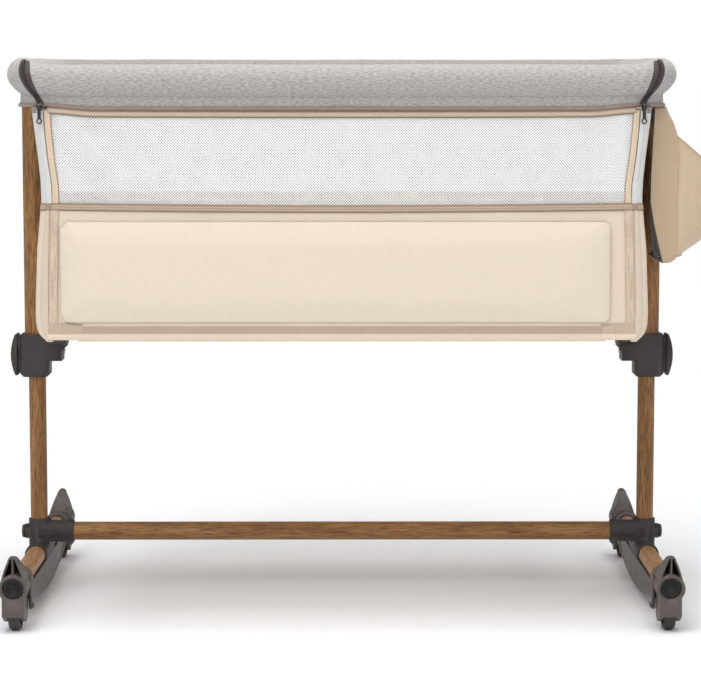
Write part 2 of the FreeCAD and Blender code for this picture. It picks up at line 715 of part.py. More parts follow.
# ---- Height adjuster -----------------------------------------------------
def sleeve():
    """Left sleeve: moulded body on the post, with the arm to the bed frame."""
    x = -POST_X
    depth = SLEEVE_HALF_DEPTH
    body = soft_block(
        x - SLEEVE_OUT, x + SLEEVE_IN, -depth, depth, SLEEVE_LOW_Z, SLEEVE_TOP_Z, 9.0, V(0, 0, 1)
    )
    low = [e for e in body.Edges if e.BoundBox.ZMax < SLEEVE_LOW_Z + 0.01]
    body = body.makeChamfer(4.0, low)
    high = [e for e in body.Edges if e.BoundBox.ZMin > SLEEVE_TOP_Z - 0.01]
    body = body.makeFillet(1.5, high)
    arm = soft_block(
        x + SLEEVE_IN - 6, x + ARM_REACH, -ARM_HALF_DEPTH, ARM_HALF_DEPTH,
        ARM_LOW_Z, ARM_TOP_Z, 5.0, V(1, 0, 0),
    )
    hanger_x = -FRAME_X - FRAME_R - SEAT_GAP
    hanger = block(
        hanger_x - HANGER_THICK, hanger_x, -ARM_HALF_DEPTH + 1, ARM_HALF_DEPTH - 1,
        ARM_TOP_Z - 8, FRAME_Z + FRAME_R - 1,
    )
    lip = block(
        hanger_x - HANGER_THICK, -FRAME_X + FRAME_R, -ARM_HALF_DEPTH + 1, ARM_HALF_DEPTH - 1,
        ARM_TOP_Z - 4, FRAME_Z - 1,
    )
    foot = block(
        x + ARM_REACH - 3, hanger_x, -ARM_HALF_DEPTH + 1, ARM_HALF_DEPTH - 1,
        ARM_TOP_Z - 8, ARM_TOP_Z,
    )
    frame_space = rod(FRAME_R + SEAT_GAP, V(-FRAME_X, -60, FRAME_Z), V(-FRAME_X, 60, FRAME_Z))
    lip_relief = block(
        hanger_x + 1, 0, -60, 60, ARM_TOP_Z - 10, FRAME_Z - FRAME_R - 3.5
    )
    lip = lip.cut(lip_relief).cut(frame_space)
    body = fused([body, arm, foot, hanger.cut(frame_space), lip])
    bores = [
        rod(LOWER_POST_R + SEAT_GAP, V(x, 0, SLEEVE_LOW_Z - 1), V(x, 0, SLEEVE_TOP_Z + 1)),
        rod(UPPER_POST_R + SEAT_GAP, V(x, 0, SLEEVE_TOP_Z - UPPER_SOCKET), V(x, 0, SLEEVE_TOP_Z + 1)),
        block(
            x - SLEEVE_OUT - 1, x + ARM_REACH - 5,
            -yoke_half() - PLAY, yoke_half() + PLAY,
            LOCK_Z - YOKE_HEIGHT / 2 - PLAY, LOCK_Z + YOKE_HEIGHT / 2 + PLAY,
        ),
        block(
            x - SLEEVE_OUT - 1, x - SLEEVE_OUT + BUTTON_TRAVEL + 1,
            -BUTTON_HALF_DEPTH + 2, BUTTON_HALF_DEPTH - 2,
            button_low_z() + 4, button_top_z() - 4,
        ),
    ]
    for bore in bores:
        body = body.cut(bore)
    return body.removeSplitter()


def yoke_half():
    """Half width of the yoke that goes round the post."""
    return LOWER_POST_R + SEAT_GAP + 1 + YOKE_ARM


def button_low_z():
    """Lower edge of the button's cap."""
    return SLEEVE_LOW_Z + 2.5


def button_top_z():
    """Upper edge of the button's cap, level with the sleeve."""
    return SLEEVE_TOP_Z - 0.6


def height_button():
    """Left push button: ridged D-shaped cap, base in the pocket, yoke round the post."""
    x = -POST_X
    back_x = x - SLEEVE_OUT - BUTTON_TRAVEL - SEAT_GAP
    low = button_low_z()
    top = button_top_z()
    depth = BUTTON_HALF_DEPTH
    middle = (low + top) / 2
    bow = Part.Arc(
        V(back_x - BUTTON_CAP * 0.35, -depth, low),
        V(back_x - BUTTON_CAP, -depth, middle),
        V(back_x - BUTTON_CAP * 0.35, -depth, top),
    ).toShape()
    rest = Part.makePolygon([
        V(back_x - BUTTON_CAP * 0.35, -depth, top), V(back_x, -depth, top),
        V(back_x, -depth, low), V(back_x - BUTTON_CAP * 0.35, -depth, low),
    ])
    cap = Part.Face(Part.Wire([bow] + rest.Edges)).extrude(V(0, 2 * depth, 0))
    sides = [
        e for e in cap.Edges
        if abs(abs(e.BoundBox.YMin) - depth) < 0.01 and e.BoundBox.YLength < 0.01
        and e.BoundBox.XMax < back_x - 1
    ]
    cap = cap.makeFillet(2.0, sides)
    for k in range(BUTTON_GROOVES):
        z = top - 6 - k * GROOVE_PITCH
        cap = cap.cut(
            block(
                back_x - BUTTON_CAP - 1, back_x - BUTTON_CAP + 2.2 + abs(z - middle) * 0.06,
                -depth + 4, depth - 4, z - GROOVE_WIDTH / 2, z + GROOVE_WIDTH / 2,
            )
        )
    base_x = x - SLEEVE_OUT + SEAT_GAP
    base = block(back_x - 0.5, base_x, -depth + 2.4, depth - 2.4, low + 4.4, top - 4.4)
    arm_low = LOCK_Z - YOKE_HEIGHT / 2
    arm_top = LOCK_Z + YOKE_HEIGHT / 2
    end_x = x + yoke_end()
    arms = [
        block(
            base_x - 1, end_x, side * (yoke_half() - YOKE_ARM), side * yoke_half(),
            arm_low, arm_top,
        )
        for side in (-1, 1)
    ]
    bridge = block(end_x - YOKE_ARM, end_x, -yoke_half(), yoke_half(), arm_low, arm_top)
    wide_base = block(base_x - 2, base_x, -yoke_half(), yoke_half(), arm_low, arm_top)
    pin_hole = rod(LOCK_PIN_R + 0.1, V(x, 0, LOCK_Z), V(x + 40, 0, LOCK_Z))
    return fused([cap, base, wide_base, bridge] + arms).cut(pin_hole).removeSplitter()


def yoke_end():
    """Distance from the post's axis to the yoke's inner face."""
    return LOWER_POST_R + 9.0


def lock_pin():
    """Left lock pin, drawn back just clear of the post."""
    x = -POST_X
    shank = rod(LOCK_PIN_R, V(x + LOWER_POST_R + PLAY, 0, LOCK_Z), V(x + yoke_end() + SEAT_GAP, 0, LOCK_Z))
    head = rod(
        LOCK_PIN_R + 1.5,
        V(x + yoke_end() + SEAT_GAP, 0, LOCK_Z),
        V(x + yoke_end() + SEAT_GAP + 2, 0, LOCK_Z),
    )
    return shank.fuse(head).removeSplitter()


def strap_stud():
    """Left stud on the inner face of the sleeve's arm."""
    face = -POST_X + ARM_REACH
    return rod(STUD_R, V(face, 0, LOCK_Z), V(face + STUD_LENGTH, 0, LOCK_Z))


# ---- Bassinet frame ------------------------------------------------------
def upper_post():
    """Left wide tube from the sleeve to the rail."""
    return pipe(
        UPPER_POST_R,
        UPPER_POST_BORE,
        V(-POST_X, 0, UPPER_POST_LOW_Z),
        V(-POST_X, 0, UPPER_POST_TOP_Z),
    )


def rail_saddle():
    """Left saddle: plug in the upper post and cradle under the rail tube."""
    plug = rod(
        UPPER_POST_BORE - SEAT_GAP,
        V(-POST_X, 0, UPPER_POST_TOP_Z - 20),
        V(-POST_X, 0, UPPER_POST_TOP_Z + 1),
    )
    flange = rod(
        UPPER_POST_R,
        V(-POST_X, 0, UPPER_POST_TOP_Z + SEAT_GAP),
        V(-POST_X, 0, UPPER_POST_TOP_Z + SEAT_GAP + 3),
    )
    cradle = block(
        -RAIL_X - RAIL_R - 2, -RAIL_X + RAIL_R + 2, -15, 15,
        UPPER_POST_TOP_Z + SEAT_GAP + 2, RAIL_Z - 2,
    )
    cradle = cradle.cut(rod(RAIL_R + SEAT_GAP, V(-RAIL_X, -20, RAIL_Z), V(-RAIL_X, 20, RAIL_Z)))
    return fused([plug, flange, cradle])


def fixed_rail_path():
    """U of the end and rear rails, seen from above, with its front ends straight."""
    front = -RAIL_Y + RAIL_BEND
    points = [
        V(-RAIL_X, front, RAIL_Z),
        V(-RAIL_X, RAIL_Y, RAIL_Z),
        V(RAIL_X, RAIL_Y, RAIL_Z),
        V(RAIL_X, front, RAIL_Z),
    ]
    return bent_path(points, RAIL_BEND), points[0]


def corner_drop():
    """Angle by which the front corner bends of the fixed rail dip."""
    return math.asin((RAIL_Z - FRONT_RAIL_Z) / RAIL_BEND)


def corner_bend(radius):
    """Left front end of the fixed rail: an arc in a plane that dips to the front rail."""
    start = V(-RAIL_X, -RAIL_Y + RAIL_BEND, RAIL_Z)
    dip = corner_drop()
    inward = V(math.cos(dip), 0, -math.sin(dip)) * RAIL_BEND
    centre = start + inward
    stop = math.radians(48)
    forward = V(0, -RAIL_BEND, 0)
    middle = centre - inward * math.cos(stop / 2) + forward * math.sin(stop / 2)
    end = centre - inward * math.cos(stop) + forward * math.sin(stop)
    path = Part.Wire([Part.Arc(start, middle, end).toShape()])
    return bar_along(path, radius, start, V(0, -1, 0))


def fixed_rail_bar(radius):
    """Round bar along the whole fixed rail."""
    path, start = fixed_rail_path()
    main = bar_along(path, radius, start, V(0, 1, 0))
    left = corner_bend(radius)
    return main.fuse(left).fuse(mirror_x(left))


def fixed_rail():
    """Steel tube inside the end and rear rails."""
    bar = fixed_rail_bar(RAIL_R)
    return bar.cut(fixed_rail_bar(RAIL_R - TUBE_WALL)).removeSplitter()


def frame_bends():
    """Four bent corner tubes of the loop under the bed."""
    path = bent_path(
        [
            V(0, FRAME_FRONT_Y, FRAME_Z),
            V(FRAME_X, FRAME_FRONT_Y, FRAME_Z),
            V(FRAME_X, FRAME_REAR_Y, FRAME_Z),
            V(-FRAME_X, FRAME_REAR_Y, FRAME_Z),
            V(-FRAME_X, FRAME_FRONT_Y, FRAME_Z),
            V(0, FRAME_FRONT_Y, FRAME_Z),
        ],
        FRAME_BEND,
    )
    loop = bar_along(path, FRAME_R, V(0, FRAME_FRONT_Y, FRAME_Z), V(1, 0, 0))
    near_x, far_x = FRAME_X - FRAME_BEND, FRAME_X + FRAME_R + 1
    front = (FRAME_FRONT_Y - FRAME_R - 1, FRAME_FRONT_Y + FRAME_BEND)
    rear = (FRAME_REAR_Y - FRAME_BEND, FRAME_REAR_Y + FRAME_R + 1)
    corners = [
        loop.common(block(x0, x1, y0, y1, FRAME_Z - FRAME_R - 1, FRAME_Z + FRAME_R + 1))
        for x0, x1 in ((-far_x, -near_x), (near_x, far_x))
        for y0, y1 in (front, rear)
    ]
    return Part.makeCompound([solid for corner in corners for solid in corner.Solids])


def bottom_frame():
    """Four straight tubes of the loop under the bed, and two slats that sit between the long ones."""
    half = FRAME_X - FRAME_BEND
    front, rear = FRAME_FRONT_Y + FRAME_BEND, FRAME_REAR_Y - FRAME_BEND
    long_tubes = [
        rod(FRAME_R, V(-half, y, FRAME_Z), V(half, y, FRAME_Z))
        for y in (FRAME_FRONT_Y, FRAME_REAR_Y)
    ]
    short_tubes = [
        rod(FRAME_R, V(x, front, FRAME_Z), V(x, rear, FRAME_Z)) for x in (-FRAME_X, FRAME_X)
    ]
    slats = [
        rod(SLAT_R, V(x, FRAME_FRONT_Y, FRAME_Z), V(x, FRAME_REAR_Y, FRAME_Z)).cut(long_tubes)
        for x in (-SLAT_X, SLAT_X)
    ]
    tubes = long_tubes + short_tubes + slats
    return Part.makeCompound([solid for tube in tubes for solid in tube.Solids])


def hinge_bracket():
    """Left bracket: clamp on the bed frame, web and pivot pin for the drop side."""
    half = CLAMP_LENGTH / 2
    outer = FRAME_R + SEAT_GAP + CLAMP_WALL
    x0 = -BRACKET_X - half
    x1 = -BRACKET_X + half
    clamp = rod(outer, V(x0, FRAME_FRONT_Y, FRAME_Z), V(x1, FRAME_FRONT_Y, FRAME_Z))
    boss = rod(PIVOT_R + 3, V(x0, -RAIL_Y, FRAME_Z), V(x1, -RAIL_Y, FRAME_Z))
    web = block(x0, x1, -RAIL_Y, FRAME_FRONT_Y, FRAME_Z + 0.5, FRAME_Z + PIVOT_R + 3)
    pin = rod(PIVOT_R, V(x0 + 1, -RAIL_Y, FRAME_Z), V(-UPRIGHT_X - UPRIGHT_R + 1, -RAIL_Y, FRAME_Z))
    space = rod(
        FRAME_R + SEAT_GAP,
        V(x0 - 1, FRAME_FRONT_Y, FRAME_Z),
        V(x1 + 1, FRAME_FRONT_Y, FRAME_Z),
    )
    return fused([clamp, boss, web, pin]).cut(space)


def bed_board():
    """Board on the bed frame."""
    body = soft_block(
        -FRAME_X - 4, FRAME_X + 4, FRAME_FRONT_Y - 10, FRAME_REAR_Y + 6,
        BOARD_LOW_Z, BOARD_LOW_Z + BOARD_THICK, 12.0, V(0, 0, 1),
    )
    clamp_r = FRAME_R + 2 * SEAT_GAP + CLAMP_WALL
    for sign in (-1, 1):
        start = V(sign * BRACKET_X - CLAMP_LENGTH / 2 - 1, FRAME_FRONT_Y, FRAME_Z)
        body = body.cut(rod(clamp_r, start, start + V(CLAMP_LENGTH + 2, 0, 0)))
    return body


def bowed_outline(x0, x1, y0, y1, z, inset, draw):
    """Closed outline whose four sides draw in between rounded corners."""
    xa = x0 + inset
    xb = x1 - inset
    ya = y0 + inset
    yb = y1 - inset
    r = 22.0
    k = r * (1 - math.sqrt(0.5))
    xm = (xa + xb) / 2
    ym = (ya + yb) / 2
    marks = [
        (V(xa + r, ya, z), V(xm, ya + draw, z), V(xb - r, ya, z)),
        (V(xb - r, ya, z), V(xb - k, ya + k, z), V(xb, ya + r, z)),
        (V(xb, ya + r, z), V(xb - draw, ym, z), V(xb, yb - r, z)),
        (V(xb, yb - r, z), V(xb - k, yb - k, z), V(xb - r, yb, z)),
        (V(xb - r, yb, z), V(xm, yb - draw, z), V(xa + r, yb, z)),
        (V(xa + r, yb, z), V(xa + k, yb - k, z), V(xa, yb - r, z)),
        (V(xa, yb - r, z), V(xa + draw, ym, z), V(xa, ya + r, z)),
        (V(xa, ya + r, z), V(xa + k, ya + k, z), V(xa + r, ya, z)),
    ]
    return Part.Wire([Part.Arc(a, b, c).toShape() for a, b, c in marks])


def mattress():
    """Mattress with a crown and sides that draw in between the corners."""
    low = MATTRESS_LOW_Z
    levels = [
        (low, 7.0), (low + 7, 1.0), (low + MATTRESS_THICK - 14, 0.5),
        (low + MATTRESS_THICK - 4, 5.0), (low + MATTRESS_THICK, 14.0),
        (low + MATTRESS_THICK + MATTRESS_CROWN, 90.0),
    ]
    wires = [
        bowed_outline(
            -MATTRESS_HALF_X, MATTRESS_HALF_X, MATTRESS_FRONT_Y, MATTRESS_REAR_Y, z, inset, 4.0
        )
        for z, inset in levels
    ]
    return Part.makeLoft(wires, True, True)


# ---- Padded rails --------------------------------------------------------
def roll_section(centre_z, grow, place):
    """Closed teardrop of a padded rail, wide round the tube and narrow at its hem.

    It is drawn across (s, z), where s runs outward from the rail's line, and
    place turns a point (s, z) into a point of the crib.
    """
    r = ROLL_R + grow
    hem = HEM_HALF + grow
    hem_z = HEM_Z + SEAT_GAP - grow
    neck_z = hem_z + NECK_RISE * (centre_z - HEM_Z) / (RAIL_Z - HEM_Z)
    flank = math.radians(28)
    side_s = r * math.cos(flank)
    side_z = centre_z - r * math.sin(flank)
    neck = hem - 0.6
    over = Part.Arc(
        place(side_s, side_z), place(0, centre_z + r), place(-side_s, side_z)
    ).toShape()

    def flank_edges(sign):
        bend = Part.Arc(
            place(sign * side_s, side_z),
            place(sign * ((side_s + neck) / 2 + 0.6), (side_z + neck_z) / 2 - 0.5),
            place(sign * neck, neck_z),
        ).toShape()
        drop = Part.Arc(
            place(sign * neck, neck_z),
            place(sign * (neck - 0.7), (neck_z + hem_z) / 2),
            place(sign * hem, hem_z),
        ).toShape()
        return [bend, drop]

    foot = Part.LineSegment(place(hem, hem_z), place(-hem, hem_z)).toShape()
    right = flank_edges(1)
    left = flank_edges(-1)
    return Part.Wire([over] + left + [foot] + right[::-1])


def straight_roll(start, end, outward, centre_z, grow):
    """Length of padded rail between two points."""
    def place(s, z):
        return V(start.x + outward.x * s, start.y + outward.y * s, z)

    face = Part.Face(roll_section(centre_z, grow, place))
    return face.extrude(end - start)


def corner_roll(centre_x, centre_y, turn0, z0, z1, grow):
    """Quarter bend of padded rail round a vertical axis, with a change of height."""
    wires = []
    steps = 5
    for step in range(steps):
        share = step / (steps - 1)
        turn = math.radians(turn0 + 90 * share)
        ease = (1 - math.cos(math.pi * share)) / 2
        centre_z = z0 + (z1 - z0) * ease
        way = V(math.cos(turn), math.sin(turn), 0)

        def place(s, z, way=way):
            reach = RAIL_BEND + s
            return V(centre_x + way.x * reach, centre_y + way.y * reach, z)

        wires.append(roll_section(centre_z, grow, place))
    return Part.makeLoft(wires, True, False)


def front_corner(grow):
    """Left front bend, which dips from the end rail to the front rail."""
    return corner_roll(-RAIL_X + RAIL_BEND, -RAIL_Y + RAIL_BEND, 180, RAIL_Z, FRONT_RAIL_Z, grow)


def zip_plane_block(offset, outward):
    """Space on one side of the slanting left zip line, moved outward by an offset."""
    slope = (ZIP_TOP_X - ZIP_LOW_X) / (ZIP_TOP_Z - ZIP_LOW_Z)
    low_z = ZIP_LOW_Z - 40
    top_z = ZIP_TOP_Z + 40
    low_x = -(ZIP_LOW_X - 40 * slope) - offset
    top_x = -(ZIP_TOP_X + 40 * slope) - offset
    far = -RAIL_X - 155 if outward else 0
    near = -RAIL_Y - 58
    points = [V(low_x, near, low_z), V(top_x, near, top_z), V(far, near, top_z), V(far, near, low_z)]
    return prism(points, V(0, -near, 0))


def fixed_cover():
    """Padded sleeve of the end and rear rails, up to the zips."""
    side = -RAIL_Y + RAIL_BEND
    rear = RAIL_Y - RAIL_BEND
    edge = RAIL_X - RAIL_BEND
    left_end = straight_roll(V(-RAIL_X, side, 0), V(-RAIL_X, rear, 0), V(-1, 0, 0), RAIL_Z, 0)
    left_front = front_corner(0).common(zip_plane_block(ZIP_SPLIT, True))
    left_rear = corner_roll(-edge, rear, 90, RAIL_Z, RAIL_Z, 0)
    back = straight_roll(V(-edge, RAIL_Y, 0), V(edge, RAIL_Y, 0), V(0, 1, 0), RAIL_Z, 0)
    left = left_end.fuse(left_front).fuse(left_rear)
    body = back.fuse(left).fuse(mirror_x(left))
    body = body.cut(fixed_rail_bar(RAIL_R + SEAT_GAP))
    for sign in (-1, 1):
        post = rod(
            UPPER_POST_R + CLOTH_GAP,
            V(sign * POST_X, 0, HEM_Z - 5),
            V(sign * POST_X, 0, UPPER_POST_TOP_Z + SEAT_GAP + 3 + CLOTH_GAP),
        )
        cradle = block(
            sign * (RAIL_X - RAIL_R - 2 - CLOTH_GAP), sign * (RAIL_X + RAIL_R + 2 + CLOTH_GAP),
            -15 - CLOTH_GAP, 15 + CLOTH_GAP, UPPER_POST_TOP_Z, RAIL_Z,
        )
        body = body.cut(post).cut(cradle)
    return body.removeSplitter()


def drop_cover():
    """Padded sleeve of the front rail, up to the zips."""
    edge = RAIL_X - RAIL_BEND
    middle = straight_roll(V(-edge, -RAIL_Y, 0), V(edge, -RAIL_Y, 0), V(0, -1, 0), FRONT_RAIL_Z, 0)
    end = front_corner(0).common(zip_plane_block(-ZIP_SPLIT, False))
    fixed_end = corner_bend(RAIL_R + 1.5)
    end = end.cut(fixed_end)
    body = middle.fuse(end).fuse(mirror_x(end))
    body = body.cut(drop_bar(RAIL_R + SEAT_GAP, UPRIGHT_R + SEAT_GAP))
    return body.removeSplitter()


# ---- Drop side -----------------------------------------------------------
def drop_bar(rail_radius, upright_radius):
    """Top rail and uprights of the drop side as one bent bar."""
    path = bent_path(
        [
            V(-UPRIGHT_X, -RAIL_Y, FRAME_Z + EYE_R - 1),
            V(-UPRIGHT_X, -RAIL_Y, FRONT_RAIL_Z),
            V(UPRIGHT_X, -RAIL_Y, FRONT_RAIL_Z),
            V(UPRIGHT_X, -RAIL_Y, FRAME_Z + EYE_R - 1),
        ],
        DROP_BEND,
    )
    thin = bar_along(path, upright_radius, V(-UPRIGHT_X, -RAIL_Y, FRAME_Z + EYE_R - 1), V(0, 0, 1))
    half = UPRIGHT_X - DROP_BEND - 10
    thick = rod(rail_radius, V(-half, -RAIL_Y, FRONT_RAIL_Z), V(half, -RAIL_Y, FRONT_RAIL_Z))
    return thin.fuse(thick)


def drop_frame():
    """Steel frame of the drop side with a pivot eye at each lower end."""
    body = drop_bar(RAIL_R, UPRIGHT_R)
    for sign in (-1, 1):
        x = sign * UPRIGHT_X
        eye = rod(EYE_R, V(x - 4, -RAIL_Y, FRAME_Z), V(x + 4, -RAIL_Y, FRAME_Z))
        hole = rod(PIVOT_R + SEAT_GAP, V(x - 9, -RAIL_Y, FRAME_Z), V(x + 9, -RAIL_Y, FRAME_Z))
        body = body.fuse(eye).cut(hole)
    return body.removeSplitter()


def diamond(x, y, z, size, thick):
    """Diamond-shaped hole through an upright sheet."""
    half = size / 2
    points = [V(x - half, y, z), V(x, y, z - half), V(x + half, y, z), V(x, y, z + half)]
    return Part.Wire(Part.makePolygon(points + [points[0]]))


def net_face(corners, y):
    """Flat net: one upright face with rows of diamond gaps inside an outline of (x, z)."""
    points = [V(x, y, z) for x, z in corners]
    outline = Part.makePolygon(points + [points[0]])
    pitch_x = 2 * NET_X / NET_COLUMNS
    pitch_z = (NET_TOP_Z - NET_LOW_Z) / NET_ROWS
    holes = [
        diamond(
            -NET_X + (column + 0.5) * pitch_x, y, NET_LOW_Z + (row + 0.5) * pitch_z, NET_HOLE, 0
        )
        for column in range(NET_COLUMNS)
        for row in range(NET_ROWS)
    ]
    return Part.Face([Part.Wire(outline)] + holes)


def front_net():
    """Front sheet: mesh window in its cloth border, down to the hem."""
    notch_x = BRACKET_X - CLAMP_LENGTH / 2 - 1
    notch_z = FRAME_Z + EYE_R + 2
    right = [
        (notch_x, SHEET_LOW_Z), (notch_x, notch_z), (FRONT_SHEET_X, notch_z), (FRONT_SHEET_X, HEM_Z),
    ]
    left = [(-x, z) for x, z in reversed(right)]
    return net_face(right + left, SHEET_FACE_Y).extrude(V(0, SHEET_THICK, 0))


def pad_outline(y, inset):
    """Outline of the padded panel at one depth."""
    x0 = PAD_LEFT_X + inset
    x1 = PAD_RIGHT_X - inset
    z0 = PAD_LOW_Z + inset
    z1 = PAD_TOP_Z - inset
    r = 14.0
    k = r * (1 - math.sqrt(0.5))
    xm = (x0 + x1) / 2
    zm = (z0 + z1) / 2
    draw = 2.0
    marks = [
        (V(x0 + r, y, z0), V(xm, y, z0 + draw), V(x1 - r, y, z0)),
        (V(x1 - r, y, z0), V(x1 - k, y, z0 + k), V(x1, y, z0 + r)),
        (V(x1, y, z0 + r), V(x1 - draw, y, zm), V(x1, y, z1 - r)),
        (V(x1, y, z1 - r), V(x1 - k, y, z1 - k), V(x1 - r, y, z1)),
        (V(x1 - r, y, z1), V(xm, y, z1 - draw), V(x0 + r, y, z1)),
        (V(x0 + r, y, z1), V(x0 + k, y, z1 - k), V(x0, y, z1 - r)),
        (V(x0, y, z1 - r), V(x0 + draw, y, zm), V(x0, y, z0 + r)),
        (V(x0, y, z0 + r), V(x0 + k, y, z0 + k), V(x0 + r, y, z0)),
    ]
    return Part.Wire([Part.Arc(a, b, c).toShape() for a, b, c in marks])


def front_panel():
    """Padded lower panel of the drop side, bare, with a soft crown."""
    back = SHEET_FACE_Y - SEAT_GAP
    levels = [(0.0, 0.0), (3.0, 0.3), (6.5, 2.5), (9.0, 7.0), (PAD_CROWN, 30.0)]
    wires = [pad_outline(back - depth, inset) for depth, inset in levels]
    return Part.makeLoft(wires, True, True)


# ---- Fixed cloth ---------------------------------------------------------
def cloth_ring(z, half_x, inset):
    """Outline of the side cloth at one height."""
    x = half_x - inset
    y0 = SHEET_FACE_Y + inset
    y1 = CLOTH_REAR_Y - inset
    r = CLOTH_BEND
    k = r * (1 - math.sqrt(0.5))
    marks = [
        ((V(-x + r, y0, z), V(x - r, y0, z)), None),
        ((V(x - r, y0, z), V(x, y0 + r, z)), V(x - k, y0 + k, z)),
        ((V(x, y0 + r, z), V(x, y1 - r, z)), None),
        ((V(x, y1 - r, z), V(x - r, y1, z)), V(x - k, y1 - k, z)),
        ((V(x - r, y1, z), V(-x + r, y1, z)), None),
        ((V(-x + r, y1, z), V(-x, y1 - r, z)), V(-x + k, y1 - k, z)),
        ((V(-x, y1 - r, z), V(-x, y0 + r, z)), None),
        ((V(-x, y0 + r, z), V(-x + r, y0, z)), V(-x + k, y0 + k, z)),
    ]
    edges = []
    for (a, b), bend in marks:
        if bend is None:
            edges.append(Part.LineSegment(a, b).toShape())
        else:
            edges.append(Part.Arc(a, bend, b).toShape())
    return Part.Wire(edges)


def side_cloth():
    """Sewn cover: end panels, rear panel with its window, and the front returns."""
    half = MATTRESS_HALF_X
    levels = [
        (SHEET_LOW_Z, half + 1.0), (FRAME_Z + 7.0, half + 14.0), (PAD_LOW_Z + 62.0, half + 10.0),
        (NET_LOW_Z - 27.0, half + 6.5), (NET_LOW_Z + 4.0, half + 6.0), (NET_LOW_Z + 63.0, half + 11.0),
        (HEM_Z, half + 18.0),
    ]
    outer = Part.makeLoft([cloth_ring(z, x, 0) for z, x in levels], True, False)
    inner_levels = [(levels[0][0] - 2, levels[0][1])] + levels[1:-1]
    inner_levels.append((levels[-1][0] + 2, levels[-1][1]))
    inner = Part.makeLoft([cloth_ring(z, x, CLOTH_THICK) for z, x in inner_levels], True, False)
    body = outer.cut(inner)
    front = block(
        -ZIP_X, ZIP_X, SHEET_FACE_Y - 5, -RAIL_Y + FRONT_RETURN, SHEET_LOW_Z - 10, HEM_Z + 15,
    )
    window = block(-NET_X, NET_X, CLOTH_REAR_Y - 20, CLOTH_REAR_Y + 5, NET_LOW_Z, NET_TOP_Z)
    body = body.cut(front).cut(window)
    for sign in (-1, 1):
        notch = block(
            sign * (FRAME_X - 13), sign * (POST_X - 10), -ARM_HALF_DEPTH - 1, ARM_HALF_DEPTH + 1,
            SHEET_LOW_Z - 10, FRAME_Z + FRAME_R + 1,
        )
        body = body.cut(notch)
        flange = block(
            sign * (levels[-1][1] - CLOTH_THICK), sign * (BAG_X - CLOTH_GAP),
            -RAIL_Y + RAIL_BEND, RAIL_Y - RAIL_BEND, HEM_Z - BASE_CLOTH_THICK, HEM_Z,
        )
        post = rod(
            UPPER_POST_R + CLOTH_GAP, V(sign * POST_X, 0, HEM_Z - 10), V(sign * POST_X, 0, HEM_Z + 10)
        )
        body = body.fuse(flange.cut(post))
    return body.removeSplitter()


def rear_net():
    """Rear mesh window with its rows of gaps, inside the rear panel."""
    y = CLOTH_REAR_Y - CLOTH_THICK - SEAT_GAP
    x = NET_X + NET_MARGIN
    low = NET_LOW_Z - NET_MARGIN
    top = NET_TOP_Z + NET_MARGIN
    face = net_face([(-x, low), (x, low), (x, top), (-x, top)], y)
    return face.extrude(V(0, -REAR_NET_THICK, 0))


def base_cloth():
    """Cloth floor under the bed frame, notched round the sleeves' arms."""
    top = FRAME_Z - FRAME_R - SEAT_GAP
    body = soft_block(
        -FRAME_X - 3, FRAME_X + 3, FRAME_FRONT_Y - 10, CLOTH_REAR_Y - CLOTH_THICK - SEAT_GAP,
        top - BASE_CLOTH_THICK, top, 8.0, V(0, 0, 1),
    )
    for sign in (-1, 1):
        arm = block(
            sign * (FRAME_X - FRAME_R - 1), sign * (FRAME_X + 20),
            -ARM_HALF_DEPTH - 1, ARM_HALF_DEPTH + 1, top - 10, top + 10,
        )
        clamp = block(
            sign * (BRACKET_X - CLAMP_LENGTH / 2 - 1), sign * (BRACKET_X + CLAMP_LENGTH / 2 + 1),
            FRAME_FRONT_Y - 15, FRAME_FRONT_Y + 14, top - 10, top + 10,
        )
        body = body.cut(arm).cut(clamp)
    return body


def bag_profile(shrink):
    """Side outlines of the hanging bag and of the pocket on its outer face."""
    y = BAG_FRONT_Y + shrink
    x0 = BAG_X + shrink
    x1 = BAG_X + BAG_DEPTH - shrink
    low = BAG_LOW_Z + shrink
    top = BAG_TOP_Z + (5 if shrink else 0)
    main = prism([V(x0, y, top), V(x1, y, top), V(x1 + 1, y, low), V(x0, y, low)],
                 V(0, BAG_REAR_Y - BAG_FRONT_Y - 2 * shrink, 0))
    pocket_top = BAG_TOP_Z - BAG_POCKET_DROP + (5 if shrink else 0)
    start = BAG_X + BAG_DEPTH + shrink * 0.4
    lip = BAG_X + BAG_DEPTH + BAG_LIP - shrink
    belly = Part.Arc(
        V(lip, y, pocket_top),
        V(BAG_X + BAG_DEPTH + BAG_BELLY - shrink, y, BAG_LOW_Z + BAG_BELLY_RISE),
        V(BAG_X + BAG_DEPTH + BAG_FOOT - shrink, y, low + BAG_POCKET_RISE),
    ).toShape()
    rest = Part.makePolygon([
        V(BAG_X + BAG_DEPTH + BAG_FOOT - shrink, y, low + BAG_POCKET_RISE), V(start, y, low + BAG_POCKET_RISE - (0 if shrink else 4)),
        V(start, y, pocket_top), V(lip, y, pocket_top),
    ])
    pocket = Part.Face(Part.Wire([belly] + rest.Edges))
    pocket = pocket.extrude(V(0, BAG_REAR_Y - BAG_FRONT_Y - 2 * shrink, 0))
    return main, pocket


def storage_bag():
    """Hanging bag on the right end: main space and a bulging outer pocket."""
    main, pocket = bag_profile(0)
    main_space, pocket_space = bag_profile(BAG_WALL)
    return main.fuse(pocket).cut(main_space).cut(pocket_space).removeSplitter()


